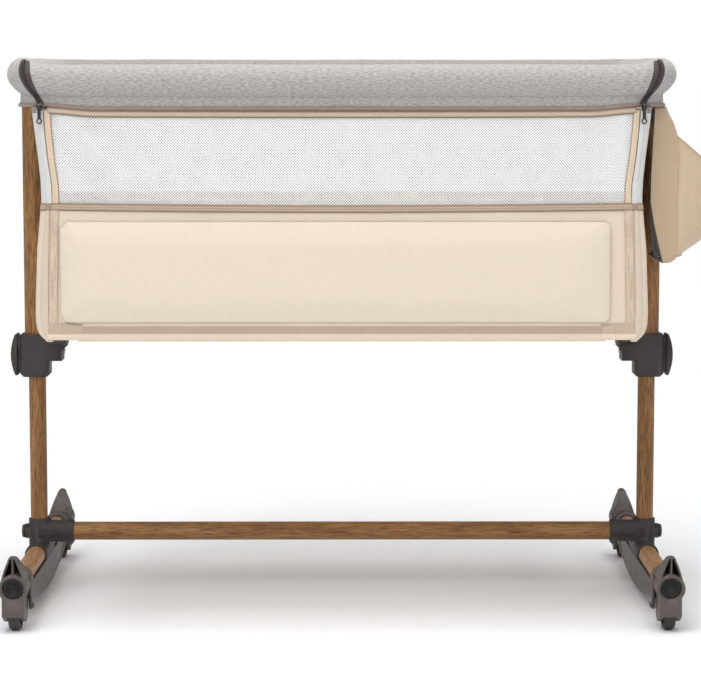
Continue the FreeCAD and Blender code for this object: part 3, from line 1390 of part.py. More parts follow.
# ---- Zips ----------------------------------------------------------------
def zip_tape():
    """Left zip: a band over the rail's corner and a straight strip down the side."""
    slab = zip_plane_block(ZIP_SPLIT, True).cut(zip_plane_block(ZIP_SPLIT + ZIP_WIDTH, True))
    skin = front_corner(SEAT_GAP + ZIP_THICK).cut(front_corner(SEAT_GAP))
    front_half = block(-RAIL_X - 55, 0, -RAIL_Y - 58, -RAIL_Y + 6, HEM_Z + 1.5, ZIP_TOP_Z + 60)
    band = skin.common(slab).common(front_half)
    solids = sorted(band.Solids, key=lambda s: -s.Volume)
    strip = block(
        -ZIP_X, -ZIP_X - ZIP_WIDTH + 3, SHEET_FACE_Y - SEAT_GAP, SHEET_FACE_Y - SEAT_GAP - ZIP_THICK,
        FRAME_Z + 14, HEM_Z + 2,
    )
    return Part.makeCompound([solids[0].cut(strip)] + [strip])


def slider_back_y():
    """Plane just in front of the left zip's face."""
    return SHEET_FACE_Y - 2 * SEAT_GAP - ZIP_THICK


def slider_x():
    """Line down which the left slider runs."""
    return -ZIP_X - (ZIP_WIDTH - 3) / 2


def zip_slider():
    """Left slider: wedge body and the bridge that holds the pull."""
    x = slider_x()
    y = slider_back_y()
    low = HEM_Z - 1
    body = prism(
        [
            V(x - 4, y, low + SLIDER_HEIGHT), V(x + 4, y, low + SLIDER_HEIGHT),
            V(x + 3, y, low), V(x - 3, y, low),
        ],
        V(0, -SLIDER_THICK + 1.5, 0),
    )
    pin_y = pull_axis_y()
    pin_z = pull_axis_z()
    lugs = [
        block(x + s * 2.8, x + s * 3.8, y - SLIDER_THICK + 2, pin_y - 1, pin_z - 1.6, pin_z + 1.6)
        for s in (-1, 1)
    ]
    pin = rod(0.8, V(x - 3.4, pin_y, pin_z), V(x + 3.4, pin_y, pin_z))
    return fused([body, pin] + lugs)


def pull_axis_y():
    """Depth of the bridge pin that the pull turns on."""
    return slider_back_y() - SLIDER_THICK - 1.2


def pull_axis_z():
    """Height of the bridge pin, in the slider's upper part."""
    return HEM_Z + SLIDER_HEIGHT - 5


def zip_pull():
    """Left pull tab: eye round the bridge pin, plate and a ring end."""
    x = slider_x()
    y = pull_axis_y()
    z = pull_axis_z()
    eye = rod(2.1, V(x - 2.3, y, z), V(x + 2.3, y, z))
    plate = soft_block(
        x - 2.3, x + 2.3, y - PULL_THICK / 2, y + PULL_THICK / 2,
        z - PULL_LENGTH, z - 1, 1.2, V(0, 1, 0),
    )
    ring = rod(4.0, V(x, y - PULL_THICK / 2, z - PULL_LENGTH), V(x, y + PULL_THICK / 2, z - PULL_LENGTH))
    hole = rod(1.15, V(x - 5, y, z), V(x + 5, y, z))
    ring_hole = rod(2.3, V(x, y - 3, z - PULL_LENGTH), V(x, y + 3, z - PULL_LENGTH))
    return fused([eye, plate, ring]).cut(hole).cut(ring_hole)


# ---- The whole crib ------------------------------------------------------
def both_ends(name, shape, whole):
    """Add a left piece and its mirror image as the right piece."""
    whole[name + "_left"] = shape
    whole[name + "_right"] = mirror_x(shape)


def four_corners(name, shape, whole):
    """Add a front left piece and its three mirror images."""
    whole[name + "_front_left"] = shape
    whole[name + "_front_right"] = mirror_x(shape)
    whole[name + "_rear_left"] = mirror_y(shape)
    whole[name + "_rear_right"] = mirror_y(mirror_x(shape))


def pair(shape):
    """A left piece and its mirror image in one node."""
    return Part.makeCompound([shape, mirror_x(shape)])


def make_crib():
    """All pieces by name, in the crib's own place."""
    whole = {}
    both_ends("lower_post", lower_post(), whole)
    whole["post_glides"] = Part.makeCompound([post_glide(-POST_X), post_glide(POST_X)])
    whole["crossbar"] = crossbar()
    both_ends("foot_tube", foot_tube(), whole)
    both_ends("base_joint", base_joint(), whole)
    whole["post_bolts"] = pair(post_bolt())
    whole["bolt_caps"] = pair(bolt_cap())
    both_ends("runner", runner(), whole)
    whole["tube_end_plugs"] = Part.makeCompound(
        [tube_end_plug(x, side) for x in (-POST_X, POST_X) for side in (-1, 1)]
    )
    four_corners("foot", foot_unit(), whole)
    four_corners("foot_latch", foot_latch(), whole)
    four_corners("wheel", wheel(), whole)
    four_corners("wheel_axle", wheel_axle(), whole)
    both_ends("sleeve", sleeve(), whole)
    both_ends("height_button", height_button(), whole)
    both_ends("lock_pin", lock_pin(), whole)
    whole["strap_studs"] = pair(strap_stud())
    both_ends("upper_post", upper_post(), whole)
    whole["rail_saddles"] = pair(rail_saddle())
    whole["fixed_rail"] = fixed_rail()
    whole["bottom_frame"] = bottom_frame()
    whole["frame_bends"] = frame_bends()
    whole["hinge_brackets"] = pair(hinge_bracket())
    whole["bed_board"] = bed_board()
    whole["mattress"] = mattress()
    whole["rail_cover"] = fixed_cover()
    whole["side_cloth"] = side_cloth()
    whole["rear_net"] = rear_net()
    whole["base_cloth"] = base_cloth()
    whole["storage_bag"] = storage_bag()
    tape = zip_tape()
    whole["zip_tapes"] = Part.makeCompound(tape.Solids + mirror_x(tape).Solids)
    both_ends("zip_slider", zip_slider(), whole)
    both_ends("zip_pull", zip_pull(), whole)
    whole["drop_frame"] = drop_frame()
    whole["drop_rail_cover"] = drop_cover()
    whole["front_panel"] = front_panel()
    whole["front_net"] = front_net()
    return whole


def main():
    """Build every piece, centre the whole over the origin and write it."""
    os.makedirs("parts", exist_ok=True)
    crib = make_crib()
    left = min(shape.BoundBox.XMin for shape in crib.values())
    right = max(shape.BoundBox.XMax for shape in crib.values())
    front = min(shape.BoundBox.YMin for shape in crib.values())
    rear = max(shape.BoundBox.YMax for shape in crib.values())
    shift = V(-(left + right) / 2, -(front + rear) / 2, 0)
    for name, shape in crib.items():
        piece = shape.copy()
        piece.translate(shift)
        piece.exportStep(os.path.join("parts", name + ".step"))
    print("pieces", len(crib), "crib middle at", shift.x, shift.y)
    print("width", right - left, "depth", rear - front)


main()
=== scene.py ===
"""Bedside crib dressed for its picture: padded rails, panels, nets, bag, tubes and fittings."""
import json
import logging
import math
from dataclasses import dataclass
from enum import Enum
from typing import Callable, Sequence

import bmesh
import bpy
import numpy as np
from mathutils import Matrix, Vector


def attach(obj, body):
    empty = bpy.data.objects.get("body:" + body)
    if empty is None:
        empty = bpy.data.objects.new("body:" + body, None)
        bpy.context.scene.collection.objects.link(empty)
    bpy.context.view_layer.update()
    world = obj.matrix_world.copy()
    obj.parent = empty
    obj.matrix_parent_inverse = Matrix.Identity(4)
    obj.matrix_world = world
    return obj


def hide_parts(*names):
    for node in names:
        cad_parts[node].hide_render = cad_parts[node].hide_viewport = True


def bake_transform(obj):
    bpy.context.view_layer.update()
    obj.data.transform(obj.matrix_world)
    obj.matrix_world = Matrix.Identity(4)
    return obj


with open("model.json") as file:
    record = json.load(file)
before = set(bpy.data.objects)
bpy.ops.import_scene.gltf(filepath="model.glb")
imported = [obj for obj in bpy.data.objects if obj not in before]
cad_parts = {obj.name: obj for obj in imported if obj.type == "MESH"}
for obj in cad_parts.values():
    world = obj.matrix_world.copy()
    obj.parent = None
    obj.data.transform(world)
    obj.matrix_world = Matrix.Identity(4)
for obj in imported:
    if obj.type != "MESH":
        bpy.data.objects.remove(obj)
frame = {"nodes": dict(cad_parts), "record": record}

log = logging.getLogger("crib")
MM = 0.001  # metres in a millimetre
ROW_SHIFT = -24.512  # crib's middle plane stands here along X, in millimetres
IMAGE_WIDTH = 701  # pixels
SENSOR = 36.0  # camera's sensor width in millimetres
# thicknesses in metres
FINE, BINDING, POUCH = 0.0006, 0.0007, 0.0012
PANEL_CLOTH, FLOOR_CLOTH, WALL_CLOTH = 0.0014, 0.0016, 0.0018
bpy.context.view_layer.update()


class Side(Enum):
    """The two ends of the crib."""

    LEFT = -1
    RIGHT = 1


class Reads(Enum):
    """What a pattern follows: the piece's own flat map, or the space of the object."""

    FLAT = "uv"
    SPACE = "object"


class Grain(Enum):
    """Direction in which the wood film's grain runs."""

    LENGTH = (1.0, 0.0, 0.0)
    DEPTH = (0.0, 1.0, 0.0)
    HEIGHT = (0.0, 0.0, 1.0)


def tone(red: int, green: int, blue: int) -> tuple[float, float, float, float]:
    """A screen colour from 0 to 255 as a linear colour."""
    out = []
    for part in (red, green, blue):
        c = part / 255
        out.append(c / 12.92 if c <= 0.04045 else ((c + 0.055) / 1.055) ** 2.4)
    return (out[0], out[1], out[2], 1.0)


# ---- Meshes ---------------------------------------------------------------
class Shell:
    """Gathers grids and small solids, in crib millimetres, into one mesh."""

    def __init__(self) -> None:
        """Starts with no points."""
        self.points: list[np.ndarray] = []
        self.faces: list[list[int]] = []
        self.uvs: list[np.ndarray] = []
        self.slots: list[np.ndarray] = []
        self.count = 0

    def grid(
        self,
        points: np.ndarray,
        close_rows: bool = False,
        close_columns: bool = False,
        caps: bool = False,
        keep: Callable[[np.ndarray], np.ndarray] | None = None,
        slot: int | Callable[[np.ndarray], np.ndarray] = 0,
        flip: bool = False,
    ) -> "Shell":
        """Adds a sheet of quads over rows and columns of points.

        Point (i, j) joins (i, j+1), (i+1, j+1) and (i+1, j). The flat map counts
        metres along the rows and columns, as the mean running length of each.

        Args:
            points: array of rows by columns by 3.
            close_rows: the last row joins the first.
            close_columns: the last column joins the first.
            caps: closed columns get a lid at the first and last row.
            keep: takes face centres and says which faces stay.
            slot: finish number, or a function of face centres that gives it.
            flip: turns the faces round.

        Returns:
            The shell itself.
        """
        n, m = points.shape[:2]
        along = np.linalg.norm(np.diff(points, axis=0, append=points[:1]), axis=2).mean(axis=1)
        across = np.linalg.norm(np.diff(points, axis=1, append=points[:, :1]), axis=2).mean(axis=0)
        u = np.concatenate([[0.0], np.cumsum(along)]) * MM
        v = np.concatenate([[0.0], np.cumsum(across)]) * MM
        i, j = np.meshgrid(
            np.arange(n if close_rows else n - 1), np.arange(m if close_columns else m - 1), indexing="ij"
        )
        qi = np.stack([i, i, i + 1, i + 1], -1).reshape(-1, 4)
        qj = np.stack([j, j + 1, j + 1, j], -1).reshape(-1, 4)
        if flip:
            qi, qj = qi[:, ::-1], qj[:, ::-1]
        quads = (qi % n) * m + (qj % m)
        flat = points.reshape(-1, 3)
        centres = flat[quads].mean(axis=1)
        if keep is not None:
            chosen = keep(centres)
            quads, qi, qj, centres = quads[chosen], qi[chosen], qj[chosen], centres[chosen]
        self.faces += (quads + self.count).tolist()
        self.uvs.append(np.stack([u[qi], v[qj]], -1).reshape(-1, 2))
        self.slots.append(slot(centres) if callable(slot) else np.full(len(quads), slot))
        if caps:
            for row, order in ((0, 1), (n - 1, -1)):
                ring = (np.arange(m) + row * m)[::-order if not flip else order]
                self.faces.append((ring + self.count).tolist())
                self.uvs.append(np.stack([np.full(m, u[row]), v[:m]], -1))
                self.slots.append(np.array([slot if not callable(slot) else 0]))
        self.points.append(flat)
        self.count += len(flat)
        return self

    def copies(
        self, points: np.ndarray, faces: Sequence[Sequence[int]], places: np.ndarray, slot: int = 0
    ) -> "Shell":
        """Adds a small solid many times: each place is a 3 by 4 frame of axes and origin.

        Args:
            points: the solid's points.
            faces: the solid's faces.
            places: array of copies by 4 by 3, rows x axis, y axis, z axis, origin.
            slot: finish number.

        Returns:
            The shell itself.
        """
        placed = np.einsum("pk,nkj->npj", points, places[:, :3]) + places[:, 3:4]
        k = len(points)
        for face in faces:
            ids = np.asarray(face)[None, :] + (np.arange(len(places)) * k)[:, None] + self.count
            self.faces += ids.tolist()
            self.uvs.append(np.zeros((ids.size, 2)))
            self.slots.append(np.full(len(places), slot))
        self.points.append(placed.reshape(-1, 3))
        self.count += placed.shape[0] * k
        return self

    def mesh(self, name: str) -> bpy.types.Mesh:
        """The gathered mesh, in metres in the row frame."""
        points = np.concatenate(self.points)
        points = (points + [ROW_SHIFT, 0, 0]) * MM
        made = bpy.data.meshes.new(name)
        made.from_pydata(points.tolist(), [], self.faces)
        layer = made.uv_layers.new(name="flat")
        layer.data.foreach_set("uv", np.concatenate(self.uvs).astype(np.float32).ravel())
        made.polygons.foreach_set("material_index", np.concatenate(self.slots).astype(np.int32))
        made.update()
        return made


UP = np.array([0.0, 0.0, 1.0])
BRICK = np.array([[x, y, z] for x in (-0.5, 0.5) for y in (-0.5, 0.5) for z in (-0.5, 0.5)])
BRICK_FACES = [[0, 1, 3, 2], [4, 6, 7, 5], [0, 4, 5, 1], [2, 3, 7, 6], [0, 2, 6, 4], [1, 5, 7, 3]]


def joined(made: bpy.types.Mesh, near: float) -> bpy.types.Mesh:
    """The mesh with points nearer than a distance merged and its faces turned outwards."""
    work = bmesh.new()
    work.from_mesh(made)
    if near:
        bmesh.ops.remove_doubles(work, verts=work.verts, dist=near)
    bmesh.ops.recalc_face_normals(work, faces=work.faces)
    work.to_mesh(made)
    work.free()
    return made


def recalculated(made: bpy.types.Mesh) -> bpy.types.Mesh:
    """The mesh with all faces of its closed shells turned outwards."""
    return joined(made, 0.0)


def ease(value: np.ndarray | float, low: float, high: float) -> np.ndarray:
    """Rises smoothly from 0 at low to 1 at high."""
    k = np.clip((np.asarray(value, float) - low) / (high - low), 0, 1)
    return k * k * (3 - 2 * k)


def stand(
    made: bpy.types.Mesh,
    body: str,
    finishes: Sequence["Finish"],
    nodes: Sequence[str] = (),
    thickness: float = 0.0,
    rounds: int = 0,
    crisp: float = 40.0,
) -> bpy.types.Object:
    """Puts a mesh into the scene as a finished piece.

    Args:
        made: its mesh in the row frame.
        body: the body it rides on, or an empty word for a piece that rides on none.
        finishes: its finishes, in slot order.
        nodes: the CAD nodes it stands for.
        thickness: wall in metres laid half to each side of an open sheet.
        rounds: levels of subdivision.
        crisp: edges that bend more than this many degrees stay crisp.

    Returns:
        The new object.
    """
    piece = bpy.data.objects.new(made.name, made)
    bpy.context.scene.collection.objects.link(piece)
    for finish in finishes:
        made.materials.append(finish.material())
    made.polygons.foreach_set("use_smooth", [True] * len(made.polygons))
    if not rounds:
        made.set_sharp_from_angle(angle=math.radians(crisp))
    if thickness:
        wall = piece.modifiers.new("wall", "SOLIDIFY")
        wall.thickness = thickness
        wall.offset = 0
    if rounds:
        soft = piece.modifiers.new("rounding", "SUBSURF")
        soft.levels = soft.render_levels = rounds
    if body:
        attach(piece, body)
    if nodes:
        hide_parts(*nodes)
    log.info("%s on %s, %d faces", made.name, body, len(made.polygons))
    return piece


def cord(line: np.ndarray, out: np.ndarray, wide: float, high: float, sides: int = 8) -> np.ndarray:
    """Rings round a line: the cosine runs along a level direction and the sine straight up.

    Args:
        line: points of the line, count by 3.
        out: level unit directions across it, count by 3.
        wide: radius along them.
        high: radius upwards.
        sides: points of a ring.

    Returns:
        Array of count by sides by 3.
    """
    turn = np.linspace(0, 2 * math.pi, sides + 1)[:-1]
    across = out[:, None, :] * (wide * np.cos(turn))[None, :, None]
    return line[:, None, :] + across + UP * (high * np.sin(turn))[None, :, None]


def unit(ways: np.ndarray) -> np.ndarray:
    """Directions brought to length 1."""
    return ways / np.maximum(np.linalg.norm(ways, axis=-1, keepdims=True), 1e-6)


def side_by_side(*parts: np.ndarray) -> np.ndarray:
    """Coordinates spread over one grid and put together as its points."""
    return np.stack(np.broadcast_arrays(*parts), -1)


def ripple(a: np.ndarray, b: np.ndarray, seed: float) -> np.ndarray:
    """Gentle uneven waves between -1 and 1: a sum of four crossed sines with odd wave numbers."""
    return (
        np.sin(a * 1.0 + seed + 1.3 * np.sin(b * 0.61 + seed * 1.7))
        + 0.6 * np.sin(a * 2.37 - b * 0.83 + seed * 2.9)
        + 0.4 * np.sin(b * 2.9 + a * 0.47 + seed * 4.1)
        + 0.25 * np.sin(a * 5.3 + b * 1.9 + seed * 0.7)
    ) / 2.25


# ---- Finishes -------------------------------------------------------------
class Wiring:
    """Lays nodes in a material or a group and joins them."""

    def __init__(self, tree: bpy.types.NodeTree) -> None:
        """Works in one node tree."""
        self.tree = tree

    def add(self, kind: str, inputs: dict | None = None, **settings: object) -> bpy.types.Node:
        """Adds a node, sets its settings, and sets or joins its inputs."""
        node = self.tree.nodes.new(kind)
        for key, value in settings.items():
            setattr(node, key, value)
        return self.fill(node, inputs or {})

    def fill(self, node: bpy.types.Node, inputs: dict) -> bpy.types.Node:
        """Joins a node's inputs to the sockets given for them, and sets the others."""
        for key, value in inputs.items():
            if isinstance(value, bpy.types.NodeSocket):
                self.tree.links.new(value, node.inputs[key])
            else:
                node.inputs[key].default_value = value
        return node

    def math(self, operation: str, *values: object) -> bpy.types.NodeSocket:
        """A number worked out from others."""
        return self.add("ShaderNodeMath", dict(enumerate(values)), operation=operation).outputs[0]

    def scaled(self, vector: object, scale: Sequence[float]) -> bpy.types.NodeSocket:
        """A vector times a fixed vector."""
        return self.add("ShaderNodeVectorMath", {0: vector, 1: tuple(scale)}, operation="MULTIPLY").outputs[0]

    def noise(self, vector: object, scale: float, detail: float = 3.0, rough: float = 0.55) -> object:
        """A noise value from 0 to 1."""
        inputs = {"Vector": vector, "Scale": scale, "Detail": detail, "Roughness": rough}
        return self.add("ShaderNodeTexNoise", inputs).outputs["Fac"]

    def ramp(self, value: object, low: float, high: float) -> bpy.types.NodeSocket:
        """Takes low to 0 and high to 1, smoothly."""
        inputs = {"Value": value, "From Min": low, "From Max": high}
        return self.add("ShaderNodeMapRange", inputs, interpolation_type="SMOOTHSTEP").outputs[0]

    def blend(self, share: object, first: object, second: object, way: str = "MIX") -> object:
        """A colour between two."""
        node = self.add("ShaderNodeMix", {0: share, 6: first, 7: second}, data_type="RGBA", blend_type=way)
        return node.outputs[2]

    def group(self, name: str, inputs: dict) -> bpy.types.Node:
        """Places one of the shared groups."""
        return self.add("ShaderNodeGroup", inputs, node_tree=bpy.data.node_groups[name])


def shared_group(
    name: str, inputs: Sequence[tuple[str, str, object]], outputs: Sequence[str]
) -> tuple[Wiring, bpy.types.Node, bpy.types.Node]:
    """Starts a shader group.

    Args:
        name: the group's name.
        inputs: name, socket kind and default of each input.
        outputs: names of the outputs, all numbers.

    Returns:
        Its wiring, its input node and its output node.
    """
    tree = bpy.data.node_groups.new(name, "ShaderNodeTree")
    for label, kind, default in inputs:
        socket = tree.interface.new_socket(label, in_out="INPUT", socket_type=kind)
        if default is not None:
            socket.default_value = default
    for label in outputs:
        tree.interface.new_socket(label, in_out="OUTPUT", socket_type="NodeSocketFloat")
    wires = Wiring(tree)
    return wires, wires.add("NodeGroupInput"), wires.add("NodeGroupOutput")


def make_groups() -> None:
    """Builds the shared groups: woven threads, soft mottling, handling marks and a row of stitches."""
    w, given, out = shared_group(
        "woven threads", [("Vector", "NodeSocketVector", None), ("Threads", "NodeSocketFloat", 900.0)],
        ["Height", "Weft"],
    )
    parts = w.add("ShaderNodeSeparateXYZ", {0: given.outputs["Vector"]})
    # each thread is a raised half wave, and neighbours pass over and under in turn
    turns = [w.math("MULTIPLY", parts.outputs[k], w.math("MULTIPLY", given.outputs["Threads"], math.pi))
             for k in (0, 1)]
    waves = [w.math("SINE", t) for t in turns]
    over = w.math("GREATER_THAN", w.math("MULTIPLY", waves[0], waves[1]), 0.0)
    tops = [w.math("ABSOLUTE", x) for x in waves]
    mixed = w.add("ShaderNodeMix", {0: over, 2: tops[0], 3: tops[1]})
    w.tree.links.new(mixed.outputs[0], out.inputs["Height"])
    w.tree.links.new(over, out.inputs["Weft"])

    w, given, out = shared_group(
        "soft mottling",
        [("Vector", "NodeSocketVector", None), ("Scale", "NodeSocketFloat", 60.0),
         ("Stretch", "NodeSocketFloat", 1.0)],
        ["Value", "Fine"],
    )
    parts = w.add("ShaderNodeSeparateXYZ", {0: given.outputs["Vector"]})
    x = w.math("DIVIDE", parts.outputs[0], given.outputs["Stretch"])
    joined = w.add("ShaderNodeCombineXYZ", {0: x, 1: parts.outputs[1], 2: parts.outputs[2]}).outputs[0]
    coarse = w.add("ShaderNodeTexNoise", {"Vector": joined, "Scale": given.outputs["Scale"], "Detail": 4.0})
    fine = w.add(
        "ShaderNodeTexNoise",
        {"Vector": joined, "Scale": w.math("MULTIPLY", given.outputs["Scale"], 7.0), "Detail": 2.0},
    )
    w.tree.links.new(coarse.outputs["Fac"], out.inputs["Value"])
    w.tree.links.new(fine.outputs["Fac"], out.inputs["Fine"])

    w, given, out = shared_group(
        "handling marks", [("Vector", "NodeSocketVector", None), ("Amount", "NodeSocketFloat", 0.3)],
        ["Marks", "Fine"],
    )
    broad = w.noise(given.outputs["Vector"], 22.0, 4.0, 0.6)
    small = w.noise(given.outputs["Vector"], 1400.0, 2.0, 0.5)
    marks = w.math("MULTIPLY", w.ramp(broad, 0.52, 0.74), given.outputs["Amount"])
    w.tree.links.new(marks, out.inputs["Marks"])
    w.tree.links.new(small, out.inputs["Fine"])

    w, given, out = shared_group(
        "stitch row",
        [("Vector", "NodeSocketVector", None), ("Offset", "NodeSocketFloat", 0.0015),
         ("Pitch", "NodeSocketFloat", 0.003)],
        ["Mask"],
    )
    parts = w.add("ShaderNodeSeparateXYZ", {0: given.outputs["Vector"]})
    # a thread lies along the row, broken into dashes, two thirds thread and one third gap
    away = w.math("ABSOLUTE", w.math("SUBTRACT", parts.outputs[1], given.outputs["Offset"]))
    line = w.math("LESS_THAN", away, 0.00045)
    step = w.math("FRACT", w.math("DIVIDE", parts.outputs[0], given.outputs["Pitch"]))
    w.tree.links.new(w.math("MULTIPLY", line, w.math("LESS_THAN", step, 0.68)), out.inputs["Mask"])


class Finish:
    """A finish that makes its material once and keeps it."""

    name: str

    def material(self) -> bpy.types.Material:
        """The material of that name, made at first use."""
        made = bpy.data.materials.get(self.name)
        if made is None:
            made = bpy.data.materials.new(self.name)
            made.use_nodes = True
            made.node_tree.nodes.clear()
            wires = Wiring(made.node_tree)
            shader = wires.add("ShaderNodeBsdfPrincipled")
            output = wires.add("ShaderNodeOutputMaterial")
            made.node_tree.links.new(shader.outputs[0], output.inputs[0])
            self.dress(wires, shader)
        return made

    def dress(self, w: Wiring, shader: bpy.types.Node) -> None:
        """Sets the shader's sockets."""
        raise NotImplementedError


def place_of(w: Wiring, reads: Reads) -> bpy.types.NodeSocket:
    """The coordinates that a pattern follows."""
    outputs = w.add("ShaderNodeTexCoord").outputs
    return outputs["UV"] if reads is Reads.FLAT else outputs["Object"]


@dataclass(frozen=True)
class Cloth(Finish):
    """Woven or knitted cloth: two thread colours, mottling, threads and soft creases in the bump."""

    name: str
    colour: tuple
    second: tuple
    mottle: float = 0.5
    grain: float = 60.0
    stretch: float = 1.0
    threads: float = 900.0
    depth: float = 0.25
    crease: float = 0.0
    sheen: float = 0.25

    def dress(self, w: Wiring, shader: bpy.types.Node) -> None:
        """Mixes the two colours by mottling and weft, and raises threads and creases."""
        at = place_of(w, Reads.FLAT)
        soft = w.group("soft mottling", {"Vector": at, "Scale": self.grain, "Stretch": self.stretch})
        weave = w.group("woven threads", {"Vector": at, "Threads": self.threads})
        spots = w.math("MULTIPLY", w.ramp(soft.outputs["Value"], 0.36, 0.66), self.mottle)
        flecks = w.math("MULTIPLY", w.ramp(soft.outputs["Fine"], 0.35, 0.7), self.mottle)
        weft = w.math("MULTIPLY", weave.outputs["Weft"], self.mottle * 0.25)
        share = w.math("MULTIPLY", w.math("ADD", w.math("ADD", spots, flecks), weft), 0.6)
        low = w.math("SUBTRACT", 1.0, w.math("MULTIPLY", w.math("SUBTRACT", 1.0, weave.outputs["Height"]), 0.12))
        mixed = w.blend(share, self.colour, self.second)
        shade = w.add("ShaderNodeCombineColor", {0: low, 1: low, 2: low}).outputs[0]
        colour = w.blend(1.0, mixed, shade, "MULTIPLY")
        bump = w.add("ShaderNodeBump", {"Height": weave.outputs["Height"], "Strength": self.depth, "Distance": 0.0004})
        normal = bump.outputs[0]
        if self.crease:
            folds = w.noise(at, 14.0, 3.0, 0.5)
            big = {"Height": folds, "Strength": self.crease, "Distance": 0.006, "Normal": normal}
            normal = w.add("ShaderNodeBump", big).outputs[0]
        rough = w.math("ADD", 0.8, w.math("MULTIPLY", soft.outputs["Fine"], 0.15))
        w.fill(shader, {"Base Color": colour, "Roughness": rough, "Normal": normal,
                        "Sheen Weight": self.sheen, "Sheen Roughness": 0.5})


@dataclass(frozen=True)
class Binding(Finish):
    """Folded edge tape, darker along both edges, with a row of stitches along each edge."""

    name: str
    colour: tuple
    edge: tuple
    width: float
    thread: tuple
    edge_width: float = 0.0012

    def dress(self, w: Wiring, shader: bpy.types.Node) -> None:
        """Darkens both edges by the flat map's second number and lays stitches beside them."""
        at = place_of(w, Reads.FLAT)
        across = w.add("ShaderNodeSeparateXYZ", {0: at}).outputs[1]
        from_edge = w.math("MINIMUM", across, w.math("SUBTRACT", self.width, across))
        rim = w.math("SUBTRACT", 1.0, w.ramp(from_edge, self.edge_width * 0.5, self.edge_width * 1.3))
        soft = w.group("soft mottling", {"Vector": at, "Scale": 90.0, "Stretch": 2.5})
        weave = w.group("woven threads", {"Vector": at, "Threads": 1100.0})
        body = w.blend(w.math("MULTIPLY", soft.outputs["Value"], 0.35), self.colour, self.edge)
        colour = w.blend(w.math("MULTIPLY", rim, 0.85), body, self.edge)
        rows = [
            w.group("stitch row", {"Vector": at, "Offset": off, "Pitch": 0.0032}).outputs[0]
            for off in (self.edge_width * 2.2, self.width - self.edge_width * 2.2)
        ]
        stitch = w.math("MAXIMUM", rows[0], rows[1])
        colour = w.blend(w.math("MULTIPLY", stitch, 0.8), colour, self.thread)
        height = w.math("ADD", w.math("MULTIPLY", weave.outputs["Height"], 0.4), w.math("MULTIPLY", stitch, 1.2))
        bump = w.add("ShaderNodeBump", {"Height": height, "Strength": 0.5, "Distance": 0.0006})
        rough = w.math("ADD", 0.78, w.math("MULTIPLY", soft.outputs["Fine"], 0.15))
        w.fill(shader, {"Base Color": colour, "Roughness": rough, "Normal": bump.outputs[0], "Sheen Weight": 0.2})


@dataclass(frozen=True)
class Net(Finish):
    """Knitted net with rows of small oval holes between crossing slanted threads, half veiled in painted shade."""

    name: str
    colour: tuple
    # colour laid in the openings: painted shade of what lies behind the net
    hole_shade: tuple
    holes: float = 260.0
    thread: float = 0.42
    lean: float = 1.0
    veil: float = 0.4

    def dress(self, w: Wiring, shader: bpy.types.Node) -> None:
        """Openings fall where both slanted waves are low and are half veiled in painted shade; the rest is thread."""
        at = place_of(w, Reads.FLAT)
        parts = w.add("ShaderNodeSeparateXYZ", {0: at})
        x = w.math("MULTIPLY", parts.outputs[0], self.holes * math.pi)
        y = w.math("MULTIPLY", parts.outputs[1], self.holes * math.pi * self.lean)
        first = w.math("ABSOLUTE", w.math("SINE", w.math("ADD", x, y)))
        second = w.math("ABSOLUTE", w.math("SINE", w.math("SUBTRACT", x, y)))
        open_part = w.math("MINIMUM", first, second)
        solid = w.math("SUBTRACT", 1.0, w.ramp(open_part, self.thread, self.thread + 0.16))
        soft = w.group("soft mottling", {"Vector": at, "Scale": 25.0, "Stretch": 1.0})
        # the openings keep a mottled, partly opaque coat of the darker colour: painted shade
        alpha = w.math("MAXIMUM", solid, w.math("MULTIPLY", soft.outputs["Value"], self.veil * 2.0))
        colour = w.blend(solid, self.hole_shade, self.colour)
        bump = w.add("ShaderNodeBump", {"Height": solid, "Strength": 0.4, "Distance": 0.0005})
        rough = w.math("ADD", 0.7, w.math("MULTIPLY", soft.outputs["Fine"], 0.2))
        w.fill(shader, {"Base Color": colour, "Alpha": alpha, "Normal": bump.outputs[0], "Roughness": rough,
                        "Sheen Weight": 0.2})


@dataclass(frozen=True)
class WoodFilm(Finish):
    """Printed wood film on steel tube: long fine grain, darker pores and slow colour bands."""

    name: str
    grain: Grain
    light: tuple
    middle: tuple
    dark: tuple
    pore: tuple = tone(70, 42, 24)

    def dress(self, w: Wiring, shader: bpy.types.Node) -> None:
        """Noise squeezed across the grain gives bands and pores."""
        at = place_of(w, Reads.SPACE)
        slow = tuple(1.0 if g else 11.0 for g in self.grain.value)
        fine = tuple(1.0 if g else 24.0 for g in self.grain.value)
        bands = w.noise(w.scaled(at, slow), 9.0, 5.0, 0.62)
        lines = w.noise(w.scaled(at, fine), 42.0, 4.0, 0.6)
        pores = w.noise(w.scaled(at, fine), 75.0, 2.0, 0.5)
        first = w.blend(w.ramp(bands, 0.3, 0.7), self.light, self.middle)
        second = w.blend(w.math("MULTIPLY", w.ramp(lines, 0.44, 0.66), 0.9), first, self.dark)
        colour = w.blend(w.math("MULTIPLY", w.ramp(pores, 0.6, 0.72), 0.6), second, self.pore)
        rough = w.math("ADD", 0.38, w.math("MULTIPLY", lines, 0.22))
        bump = w.add("ShaderNodeBump", {"Height": w.math("ADD", lines, pores), "Strength": 0.12, "Distance": 0.0003})
        w.fill(shader, {"Base Color": colour, "Roughness": rough, "Normal": bump.outputs[0],
                        "Coat Weight": 0.05, "Coat Roughness": 0.35, "Specular IOR Level": 0.35})


